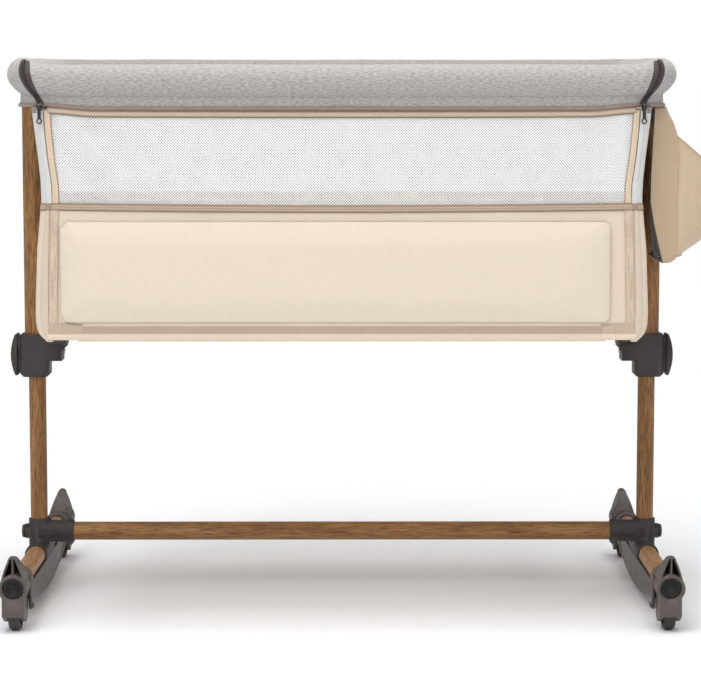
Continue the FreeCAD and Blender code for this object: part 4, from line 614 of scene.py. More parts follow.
@dataclass(frozen=True)
class Moulded(Finish):
    """Moulded plastic with a fine eroded grain and faint handling marks."""

    name: str
    colour: tuple
    rough: float = 0.5
    grain: float = 0.25

    def dress(self, w: Wiring, shader: bpy.types.Node) -> None:
        """Marks lighten the colour and polish the grain a little."""
        at = place_of(w, Reads.SPACE)
        marks = w.group("handling marks", {"Vector": at, "Amount": 0.35})
        lighter = tuple(min(1.0, c * 1.35 + 0.01) for c in self.colour[:3]) + (1.0,)
        colour = w.blend(marks.outputs["Marks"], self.colour, lighter)
        speck = w.blend(w.math("MULTIPLY", marks.outputs["Fine"], 0.16), colour, (0.02, 0.018, 0.017, 1.0))
        rough = w.math("SUBTRACT", self.rough + 0.05, w.math("MULTIPLY", marks.outputs["Marks"], 0.3))
        bump = w.add("ShaderNodeBump", {"Height": marks.outputs["Fine"], "Strength": self.grain, "Distance": 0.0003})
        w.fill(shader, {"Base Color": speck, "Roughness": rough, "Normal": bump.outputs[0]})


@dataclass(frozen=True)
class Metal(Finish):
    """Drawn or plated metal with fine lengthwise brushing and a few dull spots."""

    name: str
    colour: tuple
    rough: float = 0.32

    def dress(self, w: Wiring, shader: bpy.types.Node) -> None:
        """Roughness and bump follow squeezed noise."""
        at = place_of(w, Reads.SPACE)
        marks = w.group("handling marks", {"Vector": at, "Amount": 0.5})
        brushed = w.noise(w.scaled(at, (1.0, 14.0, 14.0)), 90.0, 3.0)
        darker = tuple(c * 0.7 for c in self.colour[:3]) + (1.0,)
        colour = w.blend(marks.outputs["Marks"], self.colour, darker)
        rough = w.math("ADD", self.rough - 0.06, w.math("MULTIPLY", brushed, 0.2))
        bump = w.add("ShaderNodeBump", {"Height": brushed, "Strength": 0.1, "Distance": 0.0002})
        w.fill(shader, {"Base Color": colour, "Metallic": 1.0, "Roughness": rough, "Normal": bump.outputs[0]})


@dataclass(frozen=True)
class ZipTape(Finish):
    """Ribbed zip tape: herringbone ribs along its length, the second colour on their raised parts."""

    name: str
    colour: tuple
    rib: tuple

    def dress(self, w: Wiring, shader: bpy.types.Node) -> None:
        """Ribs follow the flat map: a wave across, broken by a wave along."""
        at = place_of(w, Reads.FLAT)
        parts = w.add("ShaderNodeSeparateXYZ", {0: at})
        along = w.math("SINE", w.math("MULTIPLY", parts.outputs[0], 2 * math.pi / 0.0012))
        across = w.math("SINE", w.math("MULTIPLY", parts.outputs[1], 2 * math.pi / 0.0016))
        height = w.math("ADD", w.math("MULTIPLY", along, 0.35), across)
        soft = w.group("soft mottling", {"Vector": at, "Scale": 180.0, "Stretch": 1.0})
        share = w.math("MULTIPLY", w.ramp(height, -0.6, 1.2), 0.55)
        colour = w.blend(w.math("ADD", share, w.math("MULTIPLY", soft.outputs["Value"], 0.15)), self.colour, self.rib)
        bump = w.add("ShaderNodeBump", {"Height": height, "Strength": 0.4, "Distance": 0.0003})
        rough = w.math("ADD", 0.62, w.math("MULTIPLY", soft.outputs["Fine"], 0.2))
        w.fill(shader, {"Base Color": colour, "Roughness": rough, "Normal": bump.outputs[0]})


@dataclass(frozen=True)
class Board(Finish):
    """Pressed fibre board: warm brown with short fibres."""

    name: str

    def dress(self, w: Wiring, shader: bpy.types.Node) -> None:
        """Fibres are short noise streaks in two directions."""
        at = place_of(w, Reads.SPACE)
        fibres = w.noise(w.scaled(at, (1.0, 3.0, 3.0)), 160.0, 4.0, 0.7)
        cross = w.noise(w.scaled(at, (3.0, 1.0, 3.0)), 140.0, 4.0, 0.7)
        share = w.ramp(w.math("MULTIPLY", fibres, cross), 0.16, 0.36)
        colour = w.blend(share, tone(168, 138, 104), tone(206, 180, 146))
        bump = w.add("ShaderNodeBump", {"Height": fibres, "Strength": 0.2, "Distance": 0.0004})
        rough = w.math("ADD", 0.62, w.math("MULTIPLY", cross, 0.2))
        w.fill(shader, {"Base Color": colour, "Roughness": rough, "Normal": bump.outputs[0]})


MELANGE = Cloth("melange rail cloth", tone(202, 198, 194), tone(138, 134, 130), 0.85, 560.0, 3.6, 1000.0, 0.3, 0.08)
# the rail's melange darkened: painted shade on the rear run of the sleeves
MELANGE_IN_PAINTED_SHADE = Cloth("melange rail cloth in shade", tone(180, 176, 169), tone(126, 122, 115), 0.85, 560.0, 3.6,
                      1000.0, 0.3, 0.08)
CREAM = Cloth("cream quilted cloth", tone(231, 217, 197), tone(222, 206, 184), 0.3, 160.0, 1.0, 850.0, 0.3, 0.10)
CREAM_FLAT = Cloth("cream wall cloth", tone(228, 212, 191), tone(215, 198, 176), 0.35, 140.0, 1.0, 850.0, 0.3, 0.3)
FLAP = Cloth("cream flap cloth", tone(216, 200, 180), tone(204, 187, 166), 0.4, 140.0, 1.0, 850.0, 0.35, 0.4)
# the cream lower cloth darkened: painted shadow under the padded panel's overhang
SHADE = Cloth("cream lower cloth in painted shadow", tone(194, 173, 151), tone(178, 156, 134), 0.5, 240.0, 6.0, 850.0, 0.3, 0.3)
# the corner cloth darkened: painted shade, carrying the shadow band under the panel into the corners
CORNER_CLOTH_IN_PAINTED_SHADE = Cloth("corner cloth in painted shade", tone(204, 184, 161), tone(184, 162, 139), 0.7, 300.0, 6.0, 850.0, 0.3, 0.3)
WHITE = Cloth("white wall cloth", tone(216, 215, 212), tone(202, 200, 197), 0.3, 140.0, 1.0, 900.0, 0.3, 0.2)
TAN = Cloth("tan bag cloth", tone(212, 189, 160), tone(198, 174, 144), 0.35, 120.0, 1.0, 800.0, 0.35, 0.45)
# the bag's tan cloth darkened: painted shade on the main space's gussets and face
GUSSET_IN_PAINTED_SHADE = Cloth("tan bag cloth in painted shade", tone(198, 174, 146), tone(184, 160, 132), 0.35, 120.0, 1.0, 800.0, 0.35, 0.5)
DARK_MESH = Net("dark bag mesh", tone(74, 69, 66), tone(30, 27, 26), 300.0, 0.55, 0.8, 0.5)
NET = Net("white window net", tone(247, 247, 247), tone(186, 187, 188), 262.0, 0.40, 1.0, 0.62)
# the front net's lower strip, darker threads and darker openings: painted shade of the crib's inside behind it
NET_LOW_IN_PAINTED_SHADE = Net("white window net's lower strip", tone(234, 233, 231), tone(124, 122, 120), 262.0, 0.44, 1.0, 0.62)
REAR_NET = Net("grey window net", tone(198, 199, 200), tone(112, 113, 114), 262.0, 0.50, 1.0, 0.5)
BROWN = Cloth("brown corner tape", tone(170, 146, 123), tone(144, 119, 98), 0.5, 160.0, 3.0, 1200.0, 0.4, 0.0)
PIPING = Cloth("tan piping", tone(204, 178, 148), tone(182, 152, 122), 0.5, 120.0, 3.0, 1400.0, 0.4, 0.0)
HEM = Cloth("brown sleeve hem", tone(158, 144, 132), tone(132, 116, 103), 0.6, 330.0, 4.0, 1400.0, 0.4, 0.0)
TAN_HEM = Binding("tan top binding", tone(198, 176, 154), tone(116, 96, 82), 0.0092, tone(216, 198, 178), 0.0019)
BROWN_HEM = Binding("brown middle binding", tone(182, 160, 138), tone(132, 108, 90), 0.0100, tone(208, 190, 168),
                    0.0016)
EDGE_HEM = Binding("tan side binding", tone(226, 204, 176), tone(160, 132, 106), 0.0100, tone(238, 220, 196), 0.0012)
RIBBED = Cloth("ribbed corner tape", tone(228, 210, 188), tone(188, 165, 142), 0.95, 420.0, 16.0, 900.0, 0.4, 0.2)
MATTRESS = Cloth("mattress cover", tone(240, 238, 233), tone(226, 223, 217), 0.3, 45.0, 1.0, 600.0, 0.45, 0.15)
TAPE = ZipTape("zip tape", tone(52, 43, 42), tone(104, 90, 87))
WOOD_UP = WoodFilm("wood film upright", Grain.HEIGHT, tone(166, 120, 72), tone(128, 88, 47), tone(72, 45, 21))
WOOD_ACROSS = WoodFilm("wood film lengthwise", Grain.LENGTH, tone(172, 126, 79), tone(136, 95, 54), tone(82, 52, 27))
WOOD_DEEP = WoodFilm("wood film front to back", Grain.DEPTH, tone(188, 146, 104), tone(160, 117, 77), tone(110, 76, 46))
DARK = Moulded("dark moulded plastic", tone(50, 45, 42), 0.5)
JOINT = Moulded("joint plastic", tone(50, 45, 43), 0.5)
TAUPE = Moulded("taupe moulded plastic", tone(86, 77, 72), 0.46)
PLUG = Moulded("socket plug plastic", tone(30, 27, 26), 0.6)
TYRE = Moulded("wheel plastic", tone(50, 45, 43), 0.6)
GLIDE = Moulded("glide plastic", tone(224, 223, 219), 0.35, 0.05)
STEEL = Metal("plated steel", (0.50, 0.50, 0.51, 1.0), 0.34)
ZINC = Metal("dark zip metal", (0.085, 0.078, 0.075, 1.0), 0.32)
GREY_TUBE = Metal("grey tube", (0.34, 0.34, 0.35, 1.0), 0.45)
BED_BOARD = Board("bed board")


# ---- Rigid pieces ---------------------------------------------------------
def from_source(node: str, finish: Finish, crisp: float = 32.0) -> bpy.types.Object:
    """A rigid piece from its source solid, its points merged and its round faces smoothed.

    Args:
        node: the source node.
        finish: its finish.
        crisp: edges that bend more than this many degrees stay crisp.

    Returns:
        The new piece.
    """
    made = frame["nodes"][node].data.copy()
    made.name = node + "_piece"
    made.materials.clear()
    work = bmesh.new()
    work.from_mesh(made)
    bmesh.ops.remove_doubles(work, verts=work.verts, dist=1e-6)
    work.to_mesh(made)
    work.free()
    body = next(b for b, names in frame["record"]["behaviour"]["bodies"].items() if node in names)
    return stand(made, body, [finish], [node], crisp=crisp)


@dataclass
class HardParts:
    """All rigid tubes, mouldings and fittings with their finishes."""

    def build(self) -> None:
        """Dresses each rigid source piece."""
        wood, dark, taupe = "wood_look_tube", "dark_plastic", "taupe_plastic"
        for side in ("left", "right"):
            from_source(f"lower_post_{side}", WOOD_UP)
            from_source(f"upper_post_{side}", WOOD_UP)
            from_source(f"foot_tube_{side}", WOOD_DEEP)
            from_source(f"base_joint_{side}", JOINT)
            from_source(f"runner_{side}", TAUPE)
            from_source(f"sleeve_{side}", DARK)
            from_source(f"height_button_{side}", DARK)
            from_source(f"lock_pin_{side}", STEEL)
            from_source(f"zip_slider_{side}", ZINC)
            from_source(f"zip_pull_{side}", ZINC)
            for end in ("front", "rear"):
                corner = f"{end}_{side}"
                from_source(f"foot_{corner}", TAUPE)
                from_source(f"foot_latch_{corner}", TAUPE)
                from_source(f"wheel_{corner}", TYRE)
                from_source(f"wheel_axle_{corner}", STEEL)
        for node, finish, slot in (
            ("crossbar", WOOD_ACROSS, wood), ("post_glides", GLIDE, "glide_plastic"),
            ("post_bolts", STEEL, "steel_bright"), ("bolt_caps", DARK, dark), ("tube_end_plugs", PLUG, dark),
            ("strap_studs", STEEL, "steel_bright"), ("rail_saddles", DARK, dark),
            ("fixed_rail", GREY_TUBE, "steel_tube"), ("bottom_frame", GREY_TUBE, "frame_tube"),
            ("frame_bends", GREY_TUBE, "frame_tube"),
            ("hinge_brackets", STEEL, "steel_bright"), ("drop_frame", GREY_TUBE, "frame_tube"),
            ("bed_board", BED_BOARD, "board"),
        ):
            from_source(node, finish)


# ---- Padded rails ---------------------------------------------------------
@dataclass
class PaddedRails:
    """The padded sleeves round the rails and the zips over their front corners."""

    half_length: float = 436.0
    half_depth: float = 262.0
    bend: float = 56.0
    end_height: float = 762.0
    front_height: float = 752.0
    radius: float = 23.0
    hem_height: float = 713.8
    corner_rise: float = 4.6
    rear_rise: float = 7.0
    neck_rise: float = 24.0
    shade_from: float = 150.0

    def outline(self, centre: float, hem: float) -> np.ndarray:
        """Section of a padded rail as points (outward, up), from the inner hem round over the top.

        A circle's arc spans all but 62 degrees on each side of straight down, a
        slightly bowed flank joins it to the neck, and a short flare ends at the hem.

        Args:
            centre: height of the tube's line.
            hem: half width of the hem.

        Returns:
            Array of points by 2.
        """
        r, low = self.radius, self.hem_height
        neck_z = low + self.neck_rise * (centre - 713.5) / (767.0 - 713.5)
        neck = hem - 1.2
        flank = math.radians(28)
        side, side_z = r * math.cos(flank), centre - r * math.sin(flank)
        arc = np.linspace(-flank, math.pi + flank, 41)
        over = np.stack([r * np.cos(arc), centre + r * np.sin(arc)], -1)
        k = np.linspace(0, 1, 13)[1:-1]
        bow = 1.6 * np.sin(math.pi * k)
        right_flank = np.stack([neck + (side - neck) * k + bow * 0.6, neck_z + (side_z - neck_z) * k - bow * 0.3], -1)
        d = np.linspace(0, 1, 6)
        right_drop = np.stack([hem + (neck - hem) * d - 1.4 * d * (1 - d), low + (neck_z - low) * d], -1)
        right = np.concatenate([right_drop, right_flank])
        left = (right * [-1, 1])[::-1]
        foot = np.stack([np.linspace(-hem, hem, 7)[1:-1], np.full(5, low)], -1)
        return np.concatenate([right, over, left, foot])

    def count(self) -> int:
        """Number of points of a section."""
        return len(self.outline(self.front_height, 10.0))

    def length(self) -> float:
        """Length of the rail's line once round."""
        return 4 * (self.half_length - self.bend) + 4 * (self.half_depth - self.bend) + 2 * math.pi * self.bend

    def line(self, s: np.ndarray) -> tuple[np.ndarray, ...]:
        """Point, outward direction and height share of the rail's line at a distance from the front's middle.

        The line is a rounded rectangle run through front, right end, rear and left
        end, and its height eases from the front's to the ends' over the front corners.
        """
        edge, deep, turn = self.half_length - self.bend, self.half_depth - self.bend, self.bend * math.pi / 2
        s = np.mod(s, 4 * edge + 4 * deep + 4 * turn)
        x, y, ox, oy, rise = (np.zeros_like(s) for _ in range(5))
        start = 0.0
        runs = (
            ("line", edge, (0, -self.half_depth), (1, 0)), ("turn", turn, (edge, -deep), -math.pi / 2),
            ("line", 2 * deep, (self.half_length, -deep), (0, 1)), ("turn", turn, (edge, deep), 0.0),
            ("line", 2 * edge, (edge, self.half_depth), (-1, 0)), ("turn", turn, (-edge, deep), math.pi / 2),
            ("line", 2 * deep, (-self.half_length, deep), (0, -1)), ("turn", turn, (-edge, -deep), math.pi),
            ("line", edge, (-edge, -self.half_depth), (1, 0)),
        )
        for number, (kind, length, at, way) in enumerate(runs):
            here = (s >= start) & (s <= start + length)
            k = s - start
            if kind == "line":
                px, py, qx, qy = at[0] + way[0] * k, at[1] + way[1] * k, way[1] + 0 * k, -way[0] + 0 * k
            else:
                a = way + k / self.bend
                qx, qy = np.cos(a), np.sin(a)
                px, py = at[0] + self.bend * qx, at[1] + self.bend * qy
            share = np.clip(k / length, 0, 1)
            ease = share * share * (3 - 2 * share)
            high = {0: 0 * k, 8: 0 * k, 1: ease, 7: 1 - ease}.get(number, 1 + 0 * k)
            for target, value in ((x, px), (y, py), (ox, qx), (oy, qy), (rise, high)):
                target[here] = value[here]
            start += length
        return x, y, ox, oy, rise

    def surface(self, s: np.ndarray, column: np.ndarray, grow: np.ndarray | float = 0.0) -> np.ndarray:
        """Points of the sleeve's surface.

        Args:
            s: distance along the rail's line, any shape.
            column: section point numbers, same shape.
            grow: distance off the surface, along the section's own normal.

        Returns:
            Array of that shape by 3.
        """
        low, high = self.outline(self.front_height, 10.0), self.outline(self.end_height, 6.4)
        x, y, ox, oy, rise = self.line(s)
        section = low[column] + rise[..., None] * (high[column] - low[column])
        # the hem climbs towards the corners, and the rear run stands a little higher
        lower = np.clip((735 - section[..., 1]) / 21, 0, 1)
        hem_rise = np.maximum(ease(np.abs(x), 330, 400), ease(y, -240, -200))
        back_rise = np.clip((y + 190) / 420, 0, 1) * (1 - lower)
        section[..., 1] += self.corner_rise * lower * hem_rise + self.rear_rise * back_rise
        count = len(low)
        run = low[(column + 1) % count] - low[(column - 1) % count]
        run = run / np.maximum(np.linalg.norm(run, axis=-1, keepdims=True), 1e-6)
        normal = np.stack([run[..., 1], -run[..., 0]], -1)
        section = section + normal * np.asarray(grow)[..., None]
        return np.stack([x + ox * section[..., 0], y + oy * section[..., 0], section[..., 1]], -1)

    def cut(self) -> np.ndarray:
        """Distance along the line at which each section point meets the slanting plane of the right zip.

        It leans out from the hem and turns upright over the roll as a quarter sine; halving finds the crossing.
        """
        count = self.count()
        column = np.arange(count)
        edge = self.half_length - self.bend
        low = np.full(count, edge - 60.0)
        high = np.full(count, edge + self.bend * math.pi / 2)
        for _ in range(40):
            middle = (low + high) / 2
            p = self.surface(middle, column)
            inside = p[:, 0] < 406 + 22 * np.sin(np.clip((p[:, 2] - 722.7) / 50, -0.5, 1) * math.pi / 2)
            low, high = np.where(inside, middle, low), np.where(inside, high, middle)
        return (low + high) / 2

    def puckers(self, s: np.ndarray, column: np.ndarray, seed: float) -> np.ndarray:
        """Small dents and gathers of the padding, deepest near the hem and in the bends."""
        around = column / self.count()
        hem = np.exp(-((np.minimum(around, 1 - around) / 0.12) ** 2))
        waves = ripple(s / 9.0, around * 14.0, seed)
        slow = ripple(s / 55.0, around * 5.0, seed + 2)
        return 0.55 * slow - 0.35 + (0.55 * hem + 0.12) * waves

    def sleeve(self, name: str, body: str, s: np.ndarray, finish: Finish, node: str, seed: float) -> bpy.types.Object:
        """A padded sleeve over rows of distances, closed at both ends."""
        column = np.broadcast_to(np.arange(s.shape[1]), s.shape)
        ends = np.minimum(np.arange(len(s)), np.arange(len(s))[::-1])[:, None]
        calm = np.clip(ends / 6.0, 0, 1)
        points = self.surface(s, column, self.puckers(s, column, seed) * calm)
        shell = Shell().grid(points, close_columns=True, caps=True, slot=self.shaded)
        piece = stand(recalculated(shell.mesh(name)), body, [finish, MELANGE_IN_PAINTED_SHADE], [node])
        return piece

    def shaded(self, centres: np.ndarray) -> np.ndarray:
        """The second finish, the melange darkened as painted shade, lies behind a line across the crib."""
        return (centres[:, 1] > self.shade_from).astype(int)

    def hem_welt(self, name: str, body: str, s: np.ndarray) -> None:
        """A thin sewn welt round both sides of a sleeve's hem, which follows its climb and width."""
        shell = Shell()
        _, _, ox, oy, _ = self.line(s)
        out = np.stack([ox, oy, 0 * ox], -1)
        for column, side in ((0, 1), (self.count() - 6, -1)):
            hem = self.surface(s, np.full(len(s), column)) + out * side * 0.1 + UP * 1.9
            shell.grid(cord(hem, out, 1.3, 2.6), close_columns=True, caps=True)
        stand(recalculated(shell.mesh(name)), body, [HEM])

    def tape(self, side: Side, cuts: np.ndarray) -> None:
        """The zip over one front corner: two tapes, a raised coil and its teeth, from hem to top."""
        columns = np.arange(1, 35)
        half = np.interp(columns, [1, 12, 24, 34], [4.6, 5.6, 7.6, 8.2])[:, None]
        across = np.concatenate([-half, -half, 0.5 - half, 0 * half - 1.7, 0 * half - 1.4], axis=1)
        across = np.concatenate([across, -across[:, ::-1]], axis=1)
        lift = np.array([0.2, 0.9, 1.1, 1.1, 1.8, 1.8, 1.1, 1.1, 0.9, 0.2])
        s = cuts[columns][:, None] + across
        points = self.surface(s, np.broadcast_to(columns[:, None], s.shape), np.broadcast_to(lift, s.shape))
        points = points * [side.value, 1, 1]
        made = Shell().grid(points, close_columns=True, caps=True)
        name = side.name.lower()
        piece = recalculated(made.mesh(f"corner_zip_tape_{name}"))
        stand(piece, "bassinet", [TAPE], ["zip_tapes"])
        fine = np.interp(np.arange(0, len(columns) - 1, 0.32), np.arange(len(columns)), columns)
        whole = np.floor(fine).astype(int)
        part = (fine - whole)[:, None]
        both = []
        for shift in (-1.1, 1.1):
            a = self.surface(cuts[whole] + shift, whole, 1.9)
            b = self.surface(cuts[whole + 1] + shift, whole + 1, 1.9)
            both.append((a * (1 - part) + b * part) * [side.value, 1, 1])
        run = np.gradient((both[0] + both[1]) / 2, axis=0)
        run /= np.linalg.norm(run, axis=1, keepdims=True)
        cross = both[1] - both[0]
        cross /= np.linalg.norm(cross, axis=1, keepdims=True)
        out = np.cross(run, cross)
        shell = Shell()
        for number, line in enumerate(both):
            chosen = slice(number, None, 2)
            places = np.stack([cross[chosen] * 2.1, run[chosen] * 0.8, out[chosen] * 0.9, line[chosen]], 1)
            shell.copies(BRICK, BRICK_FACES, places)
        teeth = recalculated(shell.mesh(f"corner_zip_teeth_{name}"))
        stand(teeth, "bassinet", [Moulded("zip coil", tone(40, 34, 33), 0.4, 0.05)])

    def build(self) -> None:
        """Both sleeves, their welts and the corner zips."""
        cuts = self.cut()
        total = self.length()
        k = np.linspace(0, 1, 420)[:, None]
        first = cuts[None, :] + 0.4
        fixed = first + (total - 2 * first) * k
        self.sleeve("end_and_rear_sleeve", "bassinet", fixed, MELANGE, "rail_cover", 1.0)
        k = np.linspace(-1, 1, 210)[:, None]
        self.sleeve("front_sleeve", "drop_side", (cuts[None, :] - 0.4) * k, MELANGE, "drop_rail_cover", 4.0)
        short, long = min(cuts[0], cuts[-6]) - 2.0, max(cuts[0], cuts[-6]) + 2.0
        self.hem_welt("front_sleeve_welt", "drop_side", np.linspace(-short, short, 160))
        self.hem_welt("end_sleeve_welt", "bassinet", np.linspace(long, total - long, 420))
        for side in Side:
            self.tape(side, cuts)


# ---- Cloth walls ----------------------------------------------------------
HALF_AT = ((400, 399), (404, 406), (410, 411.5), (420, 415), (440, 416), (524, 412.7), (578, 407.5), (590, 406),
           (620, 407), (650, 410), (700, 416), (713.5, 417.5))
EDGE_AT = ((400, 358), (419, 358.5), (421, 399), (449, 399), (522, 397.7), (575, 396), (590, 391.5), (612, 391.5),
           (650, 396.8), (690, 400.5), (713.5, 402))


def half_width(height: np.ndarray) -> np.ndarray:
    """Half length of the cloth walls at a height, by straight steps smoothed over 5 mm each way."""
    table = np.array(HALF_AT, float)
    return np.mean([np.interp(height + d, table[:, 0], table[:, 1]) for d in np.linspace(-5, 5, 9)], axis=0)


def sheet_edge(height: np.ndarray) -> np.ndarray:
    """Half width of the folding side's cloth at a height."""
    table = np.array(EDGE_AT, float)
    return np.interp(height, table[:, 0], table[:, 1])


@dataclass
class ClothWalls:
    """End walls and rear wall with its net window, the cloth floor, and the front corner flaps."""

    front: float = -272.0
    rear: float = 267.2
    corner: float = 9.0
    window_half: float = 386.0
    window_low: float = 587.0
    window_high: float = 704.0

    def wall_path(self, height: float, half: float) -> np.ndarray:
        """Path in plan from the left front flap round the rear to the right front flap, as points.

        Straight runs join quarter circles of the corner radius; it is mirrored about the middle.
        """
        inner = min(max(half - self.corner - 0.5, float(sheet_edge(np.array(height))) + 2.2), half - 9.4)
        r = self.corner
        arc = np.linspace(0, math.pi / 2, 7)
        front = [(x, self.front) for x in np.linspace(inner, half - r, 5)[:-1]]
        bend = [(half - r + r * math.sin(a), self.front + r - r * math.cos(a)) for a in arc]
        end = [(half, y) for y in np.linspace(self.front + r, self.rear - r, 60)[1:-1]]
        back = [(half - r + r * math.cos(a), self.rear - r + r * math.sin(a)) for a in arc]
        runs = np.linspace(half - r, self.window_half, 4)[1:], np.linspace(self.window_half, 0, 60)[1:]
        rear = [(x, self.rear) for x in np.concatenate(runs)]
        right = np.array(front + bend + end + back + rear)
        left = (right * [-1, 1])[::-1][1:]
        return np.concatenate([right, left])

    def outside_openings(self, c: np.ndarray) -> np.ndarray:
        """Face centres that lie neither in the rear window nor in the notches round the sleeves' arms."""
        window = (c[:, 1] > 260) & (np.abs(c[:, 0]) < self.window_half) & (c[:, 2] > self.window_low)
        window &= c[:, 2] < self.window_high
        notch = (np.abs(c[:, 0]) > 385) & (np.abs(c[:, 1]) < 24) & (c[:, 2] < 422)
        return ~(window | notch)

    def walls(self) -> None:
        """The sewn wall round three sides, white over the middle seam and cream under it."""
        heights = np.concatenate([[400.0, 401.5, 404, 406, 408, 411, 415], np.arange(419, 587, 5.0), [587.0],
                                  np.arange(592, 704, 5.0), [704.0, 709.0, 713.3, 717.8]])
        rows = []
        for z in heights:
            path = self.wall_path(z, float(half_width(np.array(z))))
            rows.append(np.column_stack([path, np.full(len(path), z)]))
        points = np.array(rows)
        on_end = np.abs(points[..., 1]) < 250
        sag = ripple(points[..., 1] / 45.0, points[..., 2] / 60.0, 1.0) * 1.2
        fade = np.clip((points[..., 2] - 402) / 20, 0, 1) * np.clip((712 - points[..., 2]) / 20, 0, 1)
        swell = np.clip((250 - np.abs(points[..., 1])) / 60, 0, 1)
        points[..., 0] += np.sign(points[..., 0]) * np.where(on_end, sag * fade * swell - 0.8 * swell * fade, 0)
        on_rear = points[..., 1] > 266
        calm = np.clip((396 - np.abs(points[..., 0])) / 30, 0, 1) * np.clip((585 - points[..., 2]) / 20, 0, 1)
        waves = ripple(points[..., 0] / 60.0, points[..., 2] / 50.0, 3.0)
        points[..., 1] += np.where(on_rear, waves * calm * fade * 0.9, 0)
        # the top of each end leans out to the hem of the padded rail
        lean = 17 * ease(points[..., 2], 706, 718) * ease(225 - np.abs(points[..., 1]), 0, 60)
        points[..., 0] += np.sign(points[..., 0]) * lean
        # rows above 711 mm, tucked under the rail's hem, take the hem's brown: partly the hem's cover, partly painted
        # shade under it
        shell = Shell().grid(points, keep=self.outside_openings, slot=lambda c: np.digitize(c[:, 2], [583, 711]))
        piece = stand(shell.mesh("sewn_walls"), "bassinet", [CREAM_FLAT, WHITE, HEM], ["side_cloth"],
                      thickness=WALL_CLOTH)
        self.seam_bands()

    def seam_bands(self) -> None:
        """Bindings over the walls: round the middle seam and down both sides of the rear window."""
        paths = [self.offset_path(z, float(half_width(np.array(z))) + 1.3, 1.3) for z in np.linspace(578.0, 588.0, 4)]
        rows = [np.column_stack([path, np.full(len(path), z)]) for path, z in zip(paths, np.linspace(578.0, 588.0, 4))]
        band = Shell().grid(np.transpose(np.array(rows), (1, 0, 2)))
        stand(band.mesh("wall_binding"), "bassinet", [BROWN_HEM], thickness=BINDING)
        upright = Shell()
        for side in (-1, 1):
            z = np.linspace(586, 706, 26)
            x = np.array([383.5, 387.5, 391.5, 395.5]) * side
            points = side_by_side(x[None, :], self.rear + 1.2, z[:, None])
            upright.grid(points)
        stand(upright.mesh("rear_window_bindings"), "bassinet", [WHITE], thickness=BINDING)

    def offset_path(self, height: float, half: float, out: float) -> np.ndarray:
        """The wall's path moved outward."""
        walls = ClothWalls(front=self.front - out, rear=self.rear + out, corner=self.corner + out)
        return walls.wall_path(height, half)

    def corner_flaps(self) -> None:
        """A flap down each front corner over the lower zip, the zip's tape behind it, and the cloth under it."""
        for side in Side:
            self.flap(side)
            self.flap_tape(side)
            self.corner_foot(side)

    def flap(self, side: Side) -> None:
        """One flap: tan under the middle seam, brown across it and white above."""
        z = np.concatenate([np.linspace(404.0, 577.8, 64), np.linspace(588.2, 714.0, 44)])
        inner = sheet_edge(np.maximum(z, 424)) + np.interp(z, [424, 575, 600, 700], [-0.8, -0.8, 0.4, 0.6])
        outer = np.maximum(half_width(z) - 6.5, inner + 0.6)
        k = np.linspace(0, 1, 9)
        x = inner[:, None] + (outer - inner)[:, None] * k[None, :]
        y = self.front - 1.15 - 0.6 * np.sin(math.pi * k)[None, :] + 0.3 * ripple(z / 14, z * 0, 2.0)[:, None]
        y = y + 0.9 * np.clip((k - 0.8) / 0.2, 0, 1)[None, :] ** 2
        made = Shell().grid(side_by_side(side.value * x, y, z[:, None]),
                            slot=lambda c: np.digitize(c[:, 2], [577.9, 588.1]))
        stand(made.mesh(f"corner_flap_{side.name.lower()}"), "bassinet", [FLAP, BROWN, WHITE],
              thickness=FINE)

    def flap_tape(self, side: Side) -> None:
        """The lower zip's tape, behind the flap's inner edge."""
        z = np.linspace(424.0, 714.0, 60)
        k = np.array([-7.0, -3.0, 3.0, 9.0])
        x = np.minimum(sheet_edge(z)[:, None] + k[None, :], half_width(z)[:, None] - 5.0)
        made = Shell().grid(side_by_side(side.value * x, self.front + 2.6, z[:, None]))
        stand(made.mesh(f"corner_tape_{side.name.lower()}"), "bassinet", [BROWN], thickness=FINE)

    def corner_foot(self, side: Side) -> None:
        """Gathered cloth under the corner, between the walls and the folding side."""
        z = np.array([402.6, 404.0, 406.5, 409.6, 410.4, 414.0, 418.0, 421.0, 424.0])
        reach = np.minimum(half_width(z) - 2.5, 401.0)
        k = np.linspace(0, 1, 26)
        x = 352.0 + (reach - 352.0)[:, None] * k[None, :]
        folds = 0.5 * np.sin(k * 40)[None, :] * np.clip((z - 404) / 8, 0, 1)[:, None]
        y = self.front + 0.9 + (folds - 2.2) * ease(x, 353, 372) - 2.4 * np.exp(-((z[:, None] - 405.5) / 3.6) ** 2)
        # faces above 410 mm take the darker corner cloth: painted shade
        made = Shell().grid(side_by_side(side.value * x, y, z[:, None]), slot=lambda c: (c[:, 2] > 410).astype(int))
        piece = stand(made.mesh(f"corner_foot_{side.name.lower()}"), "", [CREAM_FLAT, CORNER_CLOTH_IN_PAINTED_SHADE],
                      thickness=FINE)
        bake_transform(piece)

    def floor_and_net(self) -> None:
        """The cloth floor with a slight sag, and the rear window's net."""
        x, y = np.meshgrid(np.linspace(-402.5, 402.5, 60), np.linspace(-246.0, 265.5, 42), indexing="ij")
        sag = 0.8 * np.cos(x / 402.5 * math.pi / 2) * np.cos(y / 268 * math.pi / 2)
        points = np.stack([x, y, 402.6 - sag + 0.3 * ripple(x / 50, y / 50, 5.0)], -1)
        piece = stand(Shell().grid(points).mesh("cloth_floor"), "bassinet", [CREAM_FLAT], ["base_cloth"],
                      thickness=FLOOR_CLOTH)
        u, v = np.meshgrid(np.linspace(-390, 390, 90), np.linspace(584.5, 706, 16), indexing="ij")
        points = np.stack([u, 264.4 + 0.4 * ripple(u / 40, v / 30, 2.0), v], -1)
        piece = stand(Shell().grid(points).mesh("rear_window_net"), "bassinet", [REAR_NET], ["rear_net"])

